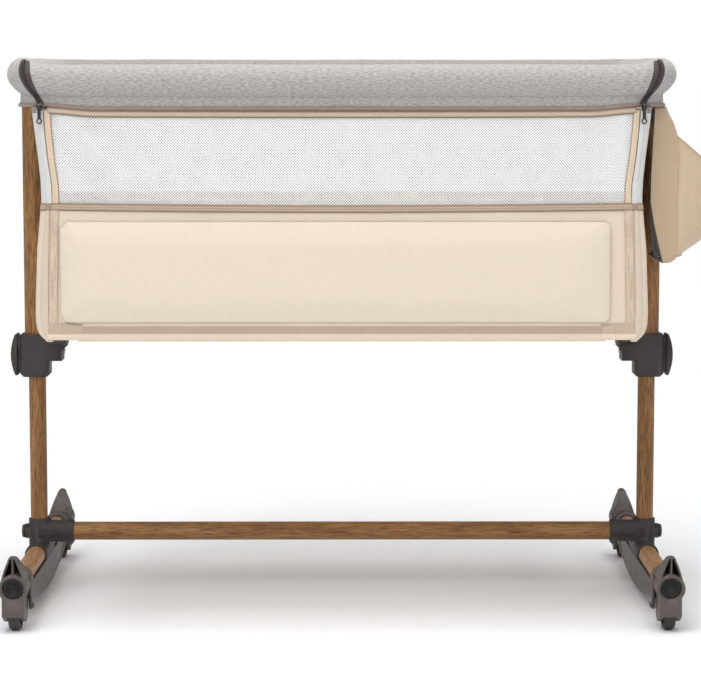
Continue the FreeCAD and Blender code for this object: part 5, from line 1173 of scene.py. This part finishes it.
    def piping(self) -> None:
        """A cord-filled piping round the lower edge of the walls."""
        path = self.wall_path(402.0, 402.0)[6:-6]
        line = np.column_stack([path, np.full(len(path), 402.4)])
        run = unit(np.gradient(line, axis=0))
        out = np.stack([run[:, 1], -run[:, 0], 0 * run[:, 0]], -1)
        made = Shell().grid(cord(line, out, 2.0, 2.0, 10), close_columns=True, caps=True).mesh("wall_piping")
        stand(recalculated(made), "bassinet", [FLAP])

    def build(self) -> None:
        """All of the fixed cloth."""
        self.walls()
        self.corner_flaps()
        self.floor_and_net()
        self.piping()


# ---- Folding side ---------------------------------------------------------
def puffed(made: bpy.types.Mesh, still: Callable[[np.ndarray], np.ndarray], cap: float, voxel: float) -> bpy.types.Mesh:
    """Blows a closed shape up as cloth, so that it gets real swells and creases.

    The shape is remeshed to even squares, simulated with pressure and no gravity
    for 20 frames, and each point's move is cut to a cap; still points don't move.

    Args:
        made: the closed shape.
        still: takes points and says which are sewn down.
        cap: the largest move in metres.
        voxel: size of the squares in metres.

    Returns:
        The blown mesh.
    """
    body = bpy.data.objects.new("blown", made)
    bpy.context.scene.collection.objects.link(body)
    grid = body.modifiers.new("even", "REMESH")
    grid.mode = "VOXEL"
    grid.voxel_size = voxel
    depsgraph = bpy.context.evaluated_depsgraph_get()
    even = bpy.data.meshes.new_from_object(body.evaluated_get(depsgraph))
    bpy.data.objects.remove(body)
    bpy.data.meshes.remove(made)
    work = bpy.data.objects.new("blown", even)
    bpy.context.scene.collection.objects.link(work)
    rest = np.array([v.co for v in even.vertices], float)
    pins = work.vertex_groups.new(name="sewn")
    pins.add([int(i) for i in np.flatnonzero(still(rest))], 1.0, "REPLACE")
    cloth = work.modifiers.new("cloth", "CLOTH")
    cloth.settings.use_pressure = True
    cloth.settings.uniform_pressure_force = 4.0
    cloth.settings.vertex_group_mass = "sewn"
    cloth.settings.effector_weights.gravity = 0.0
    cloth.settings.quality = 4
    cloth.point_cache.frame_start, cloth.point_cache.frame_end = 1, 20
    for number in range(1, 21):
        bpy.context.scene.frame_set(number)
    depsgraph = bpy.context.evaluated_depsgraph_get()
    blown = bpy.data.meshes.new_from_object(work.evaluated_get(depsgraph))
    bpy.data.objects.remove(work)
    bpy.context.scene.frame_set(1)
    now = np.array([v.co for v in blown.vertices], float)
    move = now - rest
    size = np.linalg.norm(move, axis=1, keepdims=True)
    move *= np.minimum(1.0, cap / np.maximum(size, 1e-9))
    blown.vertices.foreach_set("co", (rest + move).astype(np.float32).ravel())
    blown.update()
    return blown


@dataclass
class FoldingSide:
    """Cloth, net, bindings and padded panel of the side that folds down."""

    panel_left: float = -386.0
    panel_right: float = 370.0
    panel_low: float = 420.5
    panel_high: float = 568.5
    face: float = -272.0

    def sag(self, x: np.ndarray) -> np.ndarray:
        """Drop of the middle binding along its length: deepest in the middle."""
        return 3.2 * np.cos(np.clip(x / 396, -1, 1) * math.pi / 2) - 1.0

    def rise(self, x: np.ndarray) -> np.ndarray:
        """Height of the top binding: it dips in the middle and climbs to the rail's corners."""
        return 708.4 - 1.2 * np.cos(x / 396 * math.pi / 2) + 4.6 * ease(np.abs(x), 330, 400)

    def lower_sheet(self) -> None:
        """Cream cloth under and round the padded panel, from the piping up to the middle binding, with painted shadow
        under the panel.
        """
        heights = np.concatenate([[400.6, 402.0, 405.0, 409.6, 410.4, 415.0, 420.4, 421.2], np.arange(426, 584, 6.0),
                                  [585.0]])
        k = np.linspace(-1, 1, 130)
        half = sheet_edge(heights)[:, None]
        x = k[None, :] * half
        z = np.broadcast_to(heights[:, None], x.shape)
        y = self.face + 1.5 + 0.5 * ripple(x / 45, z / 40, 6.0) * np.clip((z - 402) / 15, 0, 1)
        y = np.clip(y, self.face + 0.9, self.face + 2.2)
        y = y - 2.4 * np.exp(-((z - 405.5) / 3.6) ** 2)
        # the band from 410 to 423 mm takes the darker cloth: painted shadow under the padded panel
        made = Shell().grid(np.stack([x, y, z], -1), slot=lambda c: ((c[:, 2] > 410) & (c[:, 2] < 423)).astype(int))
        piece = stand(made.mesh("folding_side_cloth"), "drop_side", [CREAM_FLAT, SHADE],
                      thickness=PANEL_CLOTH)

    def window(self) -> None:
        """The net window, from the middle binding to the rail's hem."""
        heights = np.linspace(581.0, 711.0, 24)
        k = np.linspace(-1, 1, 140)
        x = k[None, :] * (sheet_edge(heights) - 2)[:, None]
        z = np.broadcast_to(heights[:, None], x.shape)
        y = self.face + 1.4 + 0.35 * ripple(x / 50, z / 35, 9.0)
        # faces under 604 mm take the darker lower-strip net: painted shade
        shell = Shell().grid(np.stack([x, y, z], -1), slot=lambda c: (c[:, 2] < 604).astype(int))
        made = shell.mesh("front_window_net")
        piece = stand(made, "drop_side", [NET, NET_LOW_IN_PAINTED_SHADE], ["front_net"])

    def band(self, name: str, centre: Callable[[np.ndarray], np.ndarray], width: float, finish: Finish,
             lift: float) -> None:
        """A binding along the length: folded tape with a rounded face."""
        x = np.linspace(-396.5, 396.5, 170)
        k = np.linspace(-0.5, 0.5, 6)
        z = centre(x)[:, None] + width * k[None, :]
        y = self.face - lift - 0.7 * (1 - (2 * k[None, :]) ** 2) + 0.12 * ripple(x / 12, x * 0, 3.0)[:, None]
        points = side_by_side(x[:, None], y, z)
        stand(Shell().grid(points).mesh(name), "drop_side", [finish], thickness=BINDING)

    def bindings(self) -> None:
        """Top, middle and side bindings, and the ribbed tapes down the lower corners."""
        self.band("top_binding", self.rise, 9.2, TAN_HEM, 0.2)
        self.band("middle_binding", lambda x: 582.3 - self.sag(x), 10.0, BROWN_HEM, 0.2)
        for side in Side:
            for name, low, high, wide, finish in (("side_binding", 588.0, 713.0, 9.2, EDGE_HEM),
                                                  ("side_tape", 421.5, 578.5, 13.6, RIBBED)):
                z = np.linspace(low, high, 60)
                k = np.linspace(0, 1, 8)
                x = sheet_edge(z)[:, None] - wide * (1 - k)[None, :]
                y = self.face - 0.15 - 0.7 * np.sin(math.pi * k)[None, :] + 0.2 * ripple(z / 10, z * 0, 5.0)[:, None]
                points = side_by_side(side.value * x, y, z[:, None])
                stand(Shell().grid(points).mesh(f"{name}_{side.name.lower()}"), "drop_side", [finish],
                      thickness=FINE)

    def panel_halves(self) -> tuple[float, float, float, float]:
        """Half length and half height of the padded panel, and its middle."""
        half_x = (self.panel_right - self.panel_left) / 2 - 1.5
        half_z = (self.panel_high - self.panel_low) / 2 - 1.5
        return half_x, half_z, (self.panel_right + self.panel_left) / 2, (self.panel_high + self.panel_low) / 2

    def slab(self) -> bpy.types.Mesh:
        """The flat closed slab that is blown up: a rounded rectangle whose rings step in as they rise."""
        half_x, half_z, mid_x, mid_z = self.panel_halves()
        angle = np.linspace(0, 2 * math.pi, 361)[:-1]
        r = 15.0
        cx = np.sign(np.cos(angle)) * (half_x - r)
        cz = np.sign(np.sin(angle)) * (half_z - r)
        # equal steps round the rounded rectangle: corner circles joined by straight runs
        ring = np.stack([cx + r * np.cos(angle), cz + r * np.sin(angle)], -1)
        length = np.concatenate([[0], np.cumsum(np.linalg.norm(np.diff(ring, axis=0, append=ring[:1]), axis=1))])
        even = np.linspace(0, length[-1], 401)[:-1]
        closed = np.concatenate([ring, ring[:1]])
        ring = np.stack([np.interp(even, length, closed[:, i]) for i in (0, 1)], -1)
        inner = np.array([0.0, 2.5, 5.5, 9.0, 14.0, 22.0, 38.0, 60.0])
        depth = np.array([0.0, 2.2, 4.0, 5.6, 7.2, 8.6, 9.7, 10.0])
        scale_x = (half_x - inner) / half_x
        scale_z = (half_z - inner) / half_z
        rings = [np.stack([ring[:, 0] * sx, np.full(len(ring), -272.4 - d), ring[:, 1] * sz], -1)
                 for sx, sz, d in zip(scale_x, scale_z, depth)]
        back = np.stack([ring[:, 0], np.full(len(ring), -272.2), ring[:, 1]], -1)
        points = np.array([back * [0.985, 1, 0.95], back] + rings) + [mid_x, 0, mid_z]
        return recalculated(Shell().grid(points, close_columns=True, caps=True).mesh("padded_panel"))

    def panel(self) -> None:
        """The padded panel: the slab blown up as cloth and sewn down at its back.

        Gathers run along its seam as a bell curve of the distance from the edge,
        over slow swells; both grow from the seam to the face.
        """
        half_x, half_z, mid_x, mid_z = self.panel_halves()
        blown = puffed(self.slab(), lambda p: p[:, 1] > -0.2738, 0.0035, 0.0045)
        co = np.array([v.co for v in blown.vertices], float)
        x, z = co[:, 0] * 1000 - ROW_SHIFT - mid_x, co[:, 2] * 1000 - mid_z
        front = np.clip((-co[:, 1] * 1000 - 274) / 6, 0, 1)
        edge = np.minimum(half_x - np.abs(x), half_z - np.abs(z))
        near = np.exp(-((edge - 9) / 8.0) ** 2)
        gathers = near * 0.45 * ripple(x / 7.0 + z / 5.0, z / 9.0, 2.0)
        co[:, 1] += front * (gathers + 0.5 * ripple(x / 60, z / 45, 8.0)) / 1000
        co[:, 1] = np.clip(co[:, 1], -0.2868, -0.2722)
        blown.vertices.foreach_set("co", co.astype(np.float32).ravel())
        blown.name = "padded_panel"
        layer = blown.uv_layers.new(name="flat")
        loops = np.empty(len(blown.loops), np.int32)
        blown.loops.foreach_get("vertex_index", loops)
        flat = np.stack([co[:, 0], co[:, 2]], -1)[loops]
        layer.data.foreach_set("uv", flat.astype(np.float32).ravel())
        piece = stand(blown, "drop_side", [CREAM], ["front_panel"], rounds=1)

    def build(self) -> None:
        """All of the folding side's soft pieces."""
        self.lower_sheet()
        self.window()
        self.bindings()
        self.panel()


# ---- Bedding and bag ------------------------------------------------------
@dataclass
class Bedding:
    """The mattress with its piping and sewn channels."""

    half_x: float = 402.0
    low_y: float = -242.0
    high_y: float = 249.0
    bottom: float = 426.9
    top: float = 478.6

    def build(self) -> None:
        """A crowned cushion whose sides pull in between its corners, with diamond quilting on top.

        Rings shrink from the piping's edge to the middle; the height rises by a crown
        of cosines less a groove wherever two slanted waves cross zero.
        """
        mid_y, half_y = (self.low_y + self.high_y) / 2, (self.high_y - self.low_y) / 2
        x, y = np.meshgrid(np.linspace(-1, 1, 200), np.linspace(-1, 1, 124), indexing="ij")
        pull_x = 1 - 0.006 * np.cos(y * math.pi / 2)
        pull_y = 1 - 0.009 * np.cos(x * math.pi / 2)
        px, py = x * self.half_x * pull_x, mid_y + y * half_y * pull_y
        edge = np.minimum((1 - np.abs(x)) * self.half_x, (1 - np.abs(y)) * half_y)
        rise = 1 - np.exp(-edge / 9.0)
        first = np.abs(np.sin((px + py) * math.pi / 92)) ** 0.5
        second = np.abs(np.sin((px - py) * math.pi / 92)) ** 0.5
        quilt = 5.5 * (np.minimum(first, second) - 1) * np.clip(edge / 40, 0, 1)
        top = self.top - 9.0 + 9.0 * rise + quilt
        low = self.bottom + 5.0 * np.exp(-edge / 5.0)
        upper = np.stack([px, py, top], -1)
        under = np.stack([px, py, low], -1)
        shell = Shell().grid(upper).grid(under, flip=True)
        rim = np.concatenate([upper[:, 0], upper[-1, 1:], upper[-2::-1, -1], upper[0, -2:0:-1]])
        base = np.concatenate([under[:, 0], under[-1, 1:], under[-2::-1, -1], under[0, -2:0:-1]])
        k = np.linspace(0, 1, 7)
        middle = np.array([0.0, mid_y, 0.0])
        wall = [base + (rim - base) * t - (base - middle) * [1, 1, 0] * -0.0035 * math.sin(math.pi * t) for t in k]
        shell.grid(np.array(wall), close_columns=True)
        made = joined(shell.mesh("mattress_cushion"), 5e-5)
        piece = stand(made, "bassinet", [MATTRESS], ["mattress"], crisp=75.0)
        shell = Shell()
        for loop in (rim, base):
            run = unit(np.roll(loop, -1, 0) - np.roll(loop, 1, 0))
            out = np.stack([run[:, 1], -run[:, 0], 0 * run[:, 0]], -1)
            shell.grid(cord(loop, out, 1.6, 1.6), close_rows=True, close_columns=True)
        stand(recalculated(shell.mesh("mattress_piping")), "bassinet", [MATTRESS])


@dataclass
class HangingBag:
    """The bag on the right end: a sagging main space, a bulging outer pocket and its dark mesh back."""

    front: float = -235.0
    rear: float = -30.0
    low: float = 504.0
    top: float = 717.0
    slant: float = 30.0

    def back_x(self, z: np.ndarray) -> np.ndarray:
        """The mesh back, close to the crib's end wall."""
        return np.interp(z, [504, 508, 515, 528, 578, 626, 712], [438, 434, 428, 424, 421.5, 422, 426])

    def gusset_x(self, z: np.ndarray) -> np.ndarray:
        """Inner edge of the tan gusset: it draws outward towards the bottom and shows the mesh beside it."""
        edge = np.interp(z, [504, 512, 530, 560, 585, 610], [441, 438.5, 434, 427, 423, 420])
        return np.maximum(edge, self.back_x(z) + 0.8)

    def outer_x(self, z: np.ndarray) -> np.ndarray:
        """Outer face of the main space: it leans out from the hem and then falls straight."""
        heights = [504, 512, 535, 580, 640, 662, 676, 695, 708, 717]
        return np.interp(z, heights, [456, 459.5, 461.5, 459.5, 461, 460.5, 459, 453, 446, 442])

    def section(self, z: float) -> np.ndarray:
        """The main space cut level at a height: mesh back, folded gussets and rounded outer face.

        The bottom draws in as a quarter circle, and each gusset is dented by a squared sine.

        Args:
            z: height of the cut.

        Returns:
            Array of points by 3, round the section.
        """
        k = np.clip((z - 504.5) / 11.5, 0, 1)
        pull = 8.0 * (1 - math.sqrt(1 - (1 - k) ** 2))
        x0, x1 = float(self.back_x(z)) + pull * 0.4, float(self.outer_x(z)) - pull
        edge = float(np.clip(self.gusset_x(z), x0 + 1.2, x1 - 6))
        y0, y1 = self.front + 0.9 + pull, self.rear - 0.9 - pull
        r = 4.0
        arc = np.linspace(0, math.pi / 2, 6)
        fold = 2.0 * math.sin(math.pi * np.clip((z - 500) / 213, 0, 1)) ** 0.5
        gusset = np.concatenate([np.linspace(x0, edge, 4)[1:-1], np.linspace(edge, x1 - r, 11)])
        dent = fold * np.sin(math.pi * (gusset - x0) / (x1 - x0)) ** 2
        dent = dent + 0.5 * ripple(gusset / 9.0, np.full(len(gusset), z / 34.0), 7.0) * min(1.0, fold)
        slant = min(self.slant, x1 - x0 - 4)
        far = x0 + slant
        line = [(x0 + slant * (y - y0) / (y1 - y0), y) for y in np.linspace(y1, y0, 36)]
        line += [(x, y0 + d) for x, d in zip(gusset, dent)]
        line += [(x1 - r + r * math.sin(a), y0 + r - r * math.cos(a)) for a in arc[1:]]
        line += [(x1, y) for y in np.linspace(y0 + r, y1 - r, 34)[1:]]
        line += [(x1 - r + r * math.cos(a), y1 - r + r * math.sin(a)) for a in arc[1:]]
        line += [(far + (x - x0) * (x1 - r - far) / (x1 - r - x0), y1 - d) for x, d in zip(gusset[::-1], dent[::-1])]
        return np.column_stack([line, np.full(len(line), z)])

    def cloth_or_mesh(self, c: np.ndarray) -> np.ndarray:
        """The second finish, mesh, lies inside the gusset's edge and along the slanting back."""
        slant = self.back_x(c[:, 2]) + self.slant * (c[:, 1] - self.front) / (self.rear - self.front)
        back = (c[:, 1] > self.front + 4) & (c[:, 0] < slant + 2.5)
        return ((c[:, 0] < self.gusset_x(c[:, 2]) - 0.1) | back).astype(int)

    def main_space(self) -> None:
        """Closed-bottom shell with an open top: back of dark mesh, sides and face of tan cloth darkened as painted
        shade.
        """
        heights = np.concatenate([[504.5, 505.3, 507.0, 510.0, 513.5], np.linspace(518, self.top, 56)])
        points = np.array([self.section(z) for z in heights])
        centre = points[0].mean(axis=0)
        floor = np.array([points[0], centre + (points[0] - centre) * 0.5, np.broadcast_to(centre, points[0].shape)])
        floor[1:, :, 2] -= 0.6
        shell = Shell().grid(points, close_columns=True, slot=self.cloth_or_mesh).grid(floor, close_columns=True)
        made = joined(shell.mesh("bag_main_space"), 1e-5)
        # the main space takes the darker tan, painted shade; the pocket keeps the plain tan
        piece = stand(made, "bassinet", [GUSSET_IN_PAINTED_SHADE, DARK_MESH], ["storage_bag"], thickness=POUCH)

    def pocket(self) -> None:
        """The outer pocket: one panel that bellies out from the gusset's seam under a dipping open lip."""
        up = np.linspace(0.0, 1.0, 60)[:, None]
        y = np.linspace(0.0, 1.0, 90)[None, :]
        out = (1 - np.abs(2 * y - 1) ** 3.2) ** 0.8
        lip = 676.0 - 44.0 * out
        z = 514.5 + (lip - 514.5) * up
        belly = np.interp(up, [0, 0.02, 0.06, 0.12, 0.22, 0.38, 0.58, 0.74, 0.87, 1],
                          [8, 16, 25, 35, 49, 63, 73, 73, 65, 51])
        padded = np.pad(belly[:, 0], 3, mode="edge")
        belly = np.convolve(padded, np.ones(7) / 7, "valid")[:, None]
        x = self.outer_x(z) - 0.4 + belly * out
        py = self.front + 1.5 + (self.rear - self.front - 3) * y + 0 * x
        folds = ripple(y * 24 + 0 * z, z / 26, 3.0) * 1.4
        corner = np.exp(-((np.abs(2 * y - 1) - 0.88) / 0.12) ** 2) * np.exp(-((up - 0.04) / 0.16) ** 2)
        x = x + (folds + 1.8 * np.sin(y * 90) * corner) * np.clip(out * 1.6, 0, 1) * np.clip((1 - up) * 12, 0.2, 1)
        points = side_by_side(x, py, z)
        piece = stand(Shell().grid(points).mesh("bag_pocket"), "bassinet", [TAN], thickness=POUCH)
        for name, edge, r in (("bag_pocket_lip", points[-1], 1.7), ("bag_pocket_foot", points[0], 1.3)):
            self.cord_edge(name, edge, r)

    def cord_edge(self, name: str, line: np.ndarray, radius: float) -> None:
        """A rolled hem along an edge."""
        out = unit(np.cross(unit(np.gradient(line, axis=0)), UP))
        made = Shell().grid(cord(line, out, radius, radius * 1.4), close_columns=True, caps=True).mesh(name)
        stand(recalculated(made), "bassinet", [PIPING])

    def edges(self) -> None:
        """Rolled hems along the bag's top edges, and the seam down the gusset."""
        for name, face in (("bag_back_hem", self.back_x), ("bag_front_hem", self.outer_x)):
            x = float(face(self.top))
            line = np.array([[x, y, self.top - 1] for y in np.linspace(self.front + 4, self.rear - 4, 40)])
            self.cord_edge(name, line, 1.3)
        z = np.linspace(514, self.top - 1, 60)
        x = self.outer_x(z) - 1.2
        seam = np.stack([x, np.full(60, self.front + 1.8), z], -1)
        turn = np.linspace(0, 2 * math.pi, 9)[:-1]
        ring = seam[:, None, :] + np.stack([0.9 * np.cos(turn), 0.9 * np.sin(turn), 0 * turn], -1)[None]
        stand(recalculated(Shell().grid(ring, close_columns=True, caps=True).mesh("bag_gusset_seam")), "bassinet",
              [PIPING])

    def build(self) -> None:
        """The whole bag."""
        self.main_space()
        self.pocket()
        self.edges()


# ---- Stage ----------------------------------------------------------------
@dataclass
class Studio:
    """Pale floor, white surroundings, soft lamps and the camera."""

    distance: float = 3.43
    eye: float = 0.716
    focal_px: float = 2335.0
    pitch: float = 5.72
    yaw: float = 0.21
    sky: float = 0.43

    def floor(self) -> None:
        """A pale floor that keeps the shadow near the crib and fades to plain white further out."""
        made = bpy.data.meshes.new("studio_floor")
        made.from_pydata([(-30, -30, 0), (30, -30, 0), (30, 30, 0), (-30, 30, 0)], [], [(0, 1, 2, 3)])
        piece = bpy.data.objects.new("studio_floor", made)
        bpy.context.scene.collection.objects.link(piece)
        paint = bpy.data.materials.new("pale floor")
        paint.use_nodes = True
        w = Wiring(paint.node_tree)
        w.tree.nodes.clear()
        at = w.add("ShaderNodeTexCoord").outputs["Object"]
        far = w.ramp(w.add("ShaderNodeVectorMath", {0: at}, operation="LENGTH").outputs["Value"], 0.5, 1.1)
        path = w.add("ShaderNodeLightPath")
        seen = w.math("MAXIMUM", path.outputs["Is Camera Ray"], path.outputs["Is Transmission Ray"])
        share = w.math("MULTIPLY", far, seen)
        diffuse = w.add("ShaderNodeBsdfDiffuse", {"Color": (0.965, 0.975, 1.0, 1.0)})
        glow = w.add("ShaderNodeEmission", {"Color": (1, 1, 1, 1), "Strength": 1.0})
        mix = w.add("ShaderNodeMixShader", {0: share, 1: diffuse.outputs[0], 2: glow.outputs[0]})
        w.add("ShaderNodeOutputMaterial", {0: mix.outputs[0]})
        made.materials.append(paint)

    def world(self) -> None:
        """White for the camera and through glass, a softer white as light."""
        world = bpy.data.worlds.new("studio")
        bpy.context.scene.world = world
        world.use_nodes = True
        w = Wiring(world.node_tree)
        w.tree.nodes.clear()
        path = w.add("ShaderNodeLightPath")
        seen = w.math("MAXIMUM", path.outputs["Is Camera Ray"], path.outputs["Is Transmission Ray"])
        strength = w.math("ADD", w.math("MULTIPLY", seen, 1.0 - self.sky), self.sky)
        back = w.add("ShaderNodeBackground", {"Color": (1, 1, 1, 1), "Strength": strength})
        w.add("ShaderNodeOutputWorld", {0: back.outputs[0]})

    def lamp(self, name: str, at: tuple, towards: tuple, size: float, power: float) -> None:
        """A soft square lamp turned towards a point."""
        light = bpy.data.lights.new(name, "AREA")
        light.size = size
        light.energy = power
        piece = bpy.data.objects.new(name, light)
        piece.location = at
        piece.rotation_euler = (Vector(towards) - Vector(at)).to_track_quat("-Z", "Y").to_euler()
        bpy.context.scene.collection.objects.link(piece)

    def camera(self) -> None:
        """Long lens at the crib's middle plane, tipped a little down."""
        lens = bpy.data.cameras.new("camera")
        lens.sensor_width = SENSOR
        lens.lens = self.focal_px / IMAGE_WIDTH * SENSOR
        piece = bpy.data.objects.new("camera", lens)
        piece.location = (ROW_SHIFT * MM, -self.distance, self.eye)
        piece.rotation_euler = (math.radians(90 - self.pitch), 0, math.radians(-self.yaw))
        bpy.context.scene.collection.objects.link(piece)
        bpy.context.scene.camera = piece

    def build(self) -> None:
        """The whole stage."""
        self.floor()
        self.world()
        self.camera()
        self.lamp("key", (-1.3, -2.6, 3.0), (0, 0, 0.45), 2.4, 56.0)
        self.lamp("fill", (2.2, -2.4, 1.6), (0, 0, 0.45), 2.4, 14.0)
        self.lamp("top", (0, -0.2, 3.4), (0, 0, 0.3), 2.6, 78.0)


def main() -> None:
    """Builds every sub-assembly in order."""
    logging.basicConfig(level=logging.INFO, format="%(name)s: %(message)s")
    bpy.context.scene.view_settings.view_transform = "Standard"
    make_groups()
    for part in (HardParts(), PaddedRails(), ClothWalls(), FoldingSide(), Bedding(), HangingBag(), Studio()):
        log.info("building %s", type(part).__name__)
        part.build()
    bpy.context.view_layer.update()


if __name__ == "__main__":
    main()
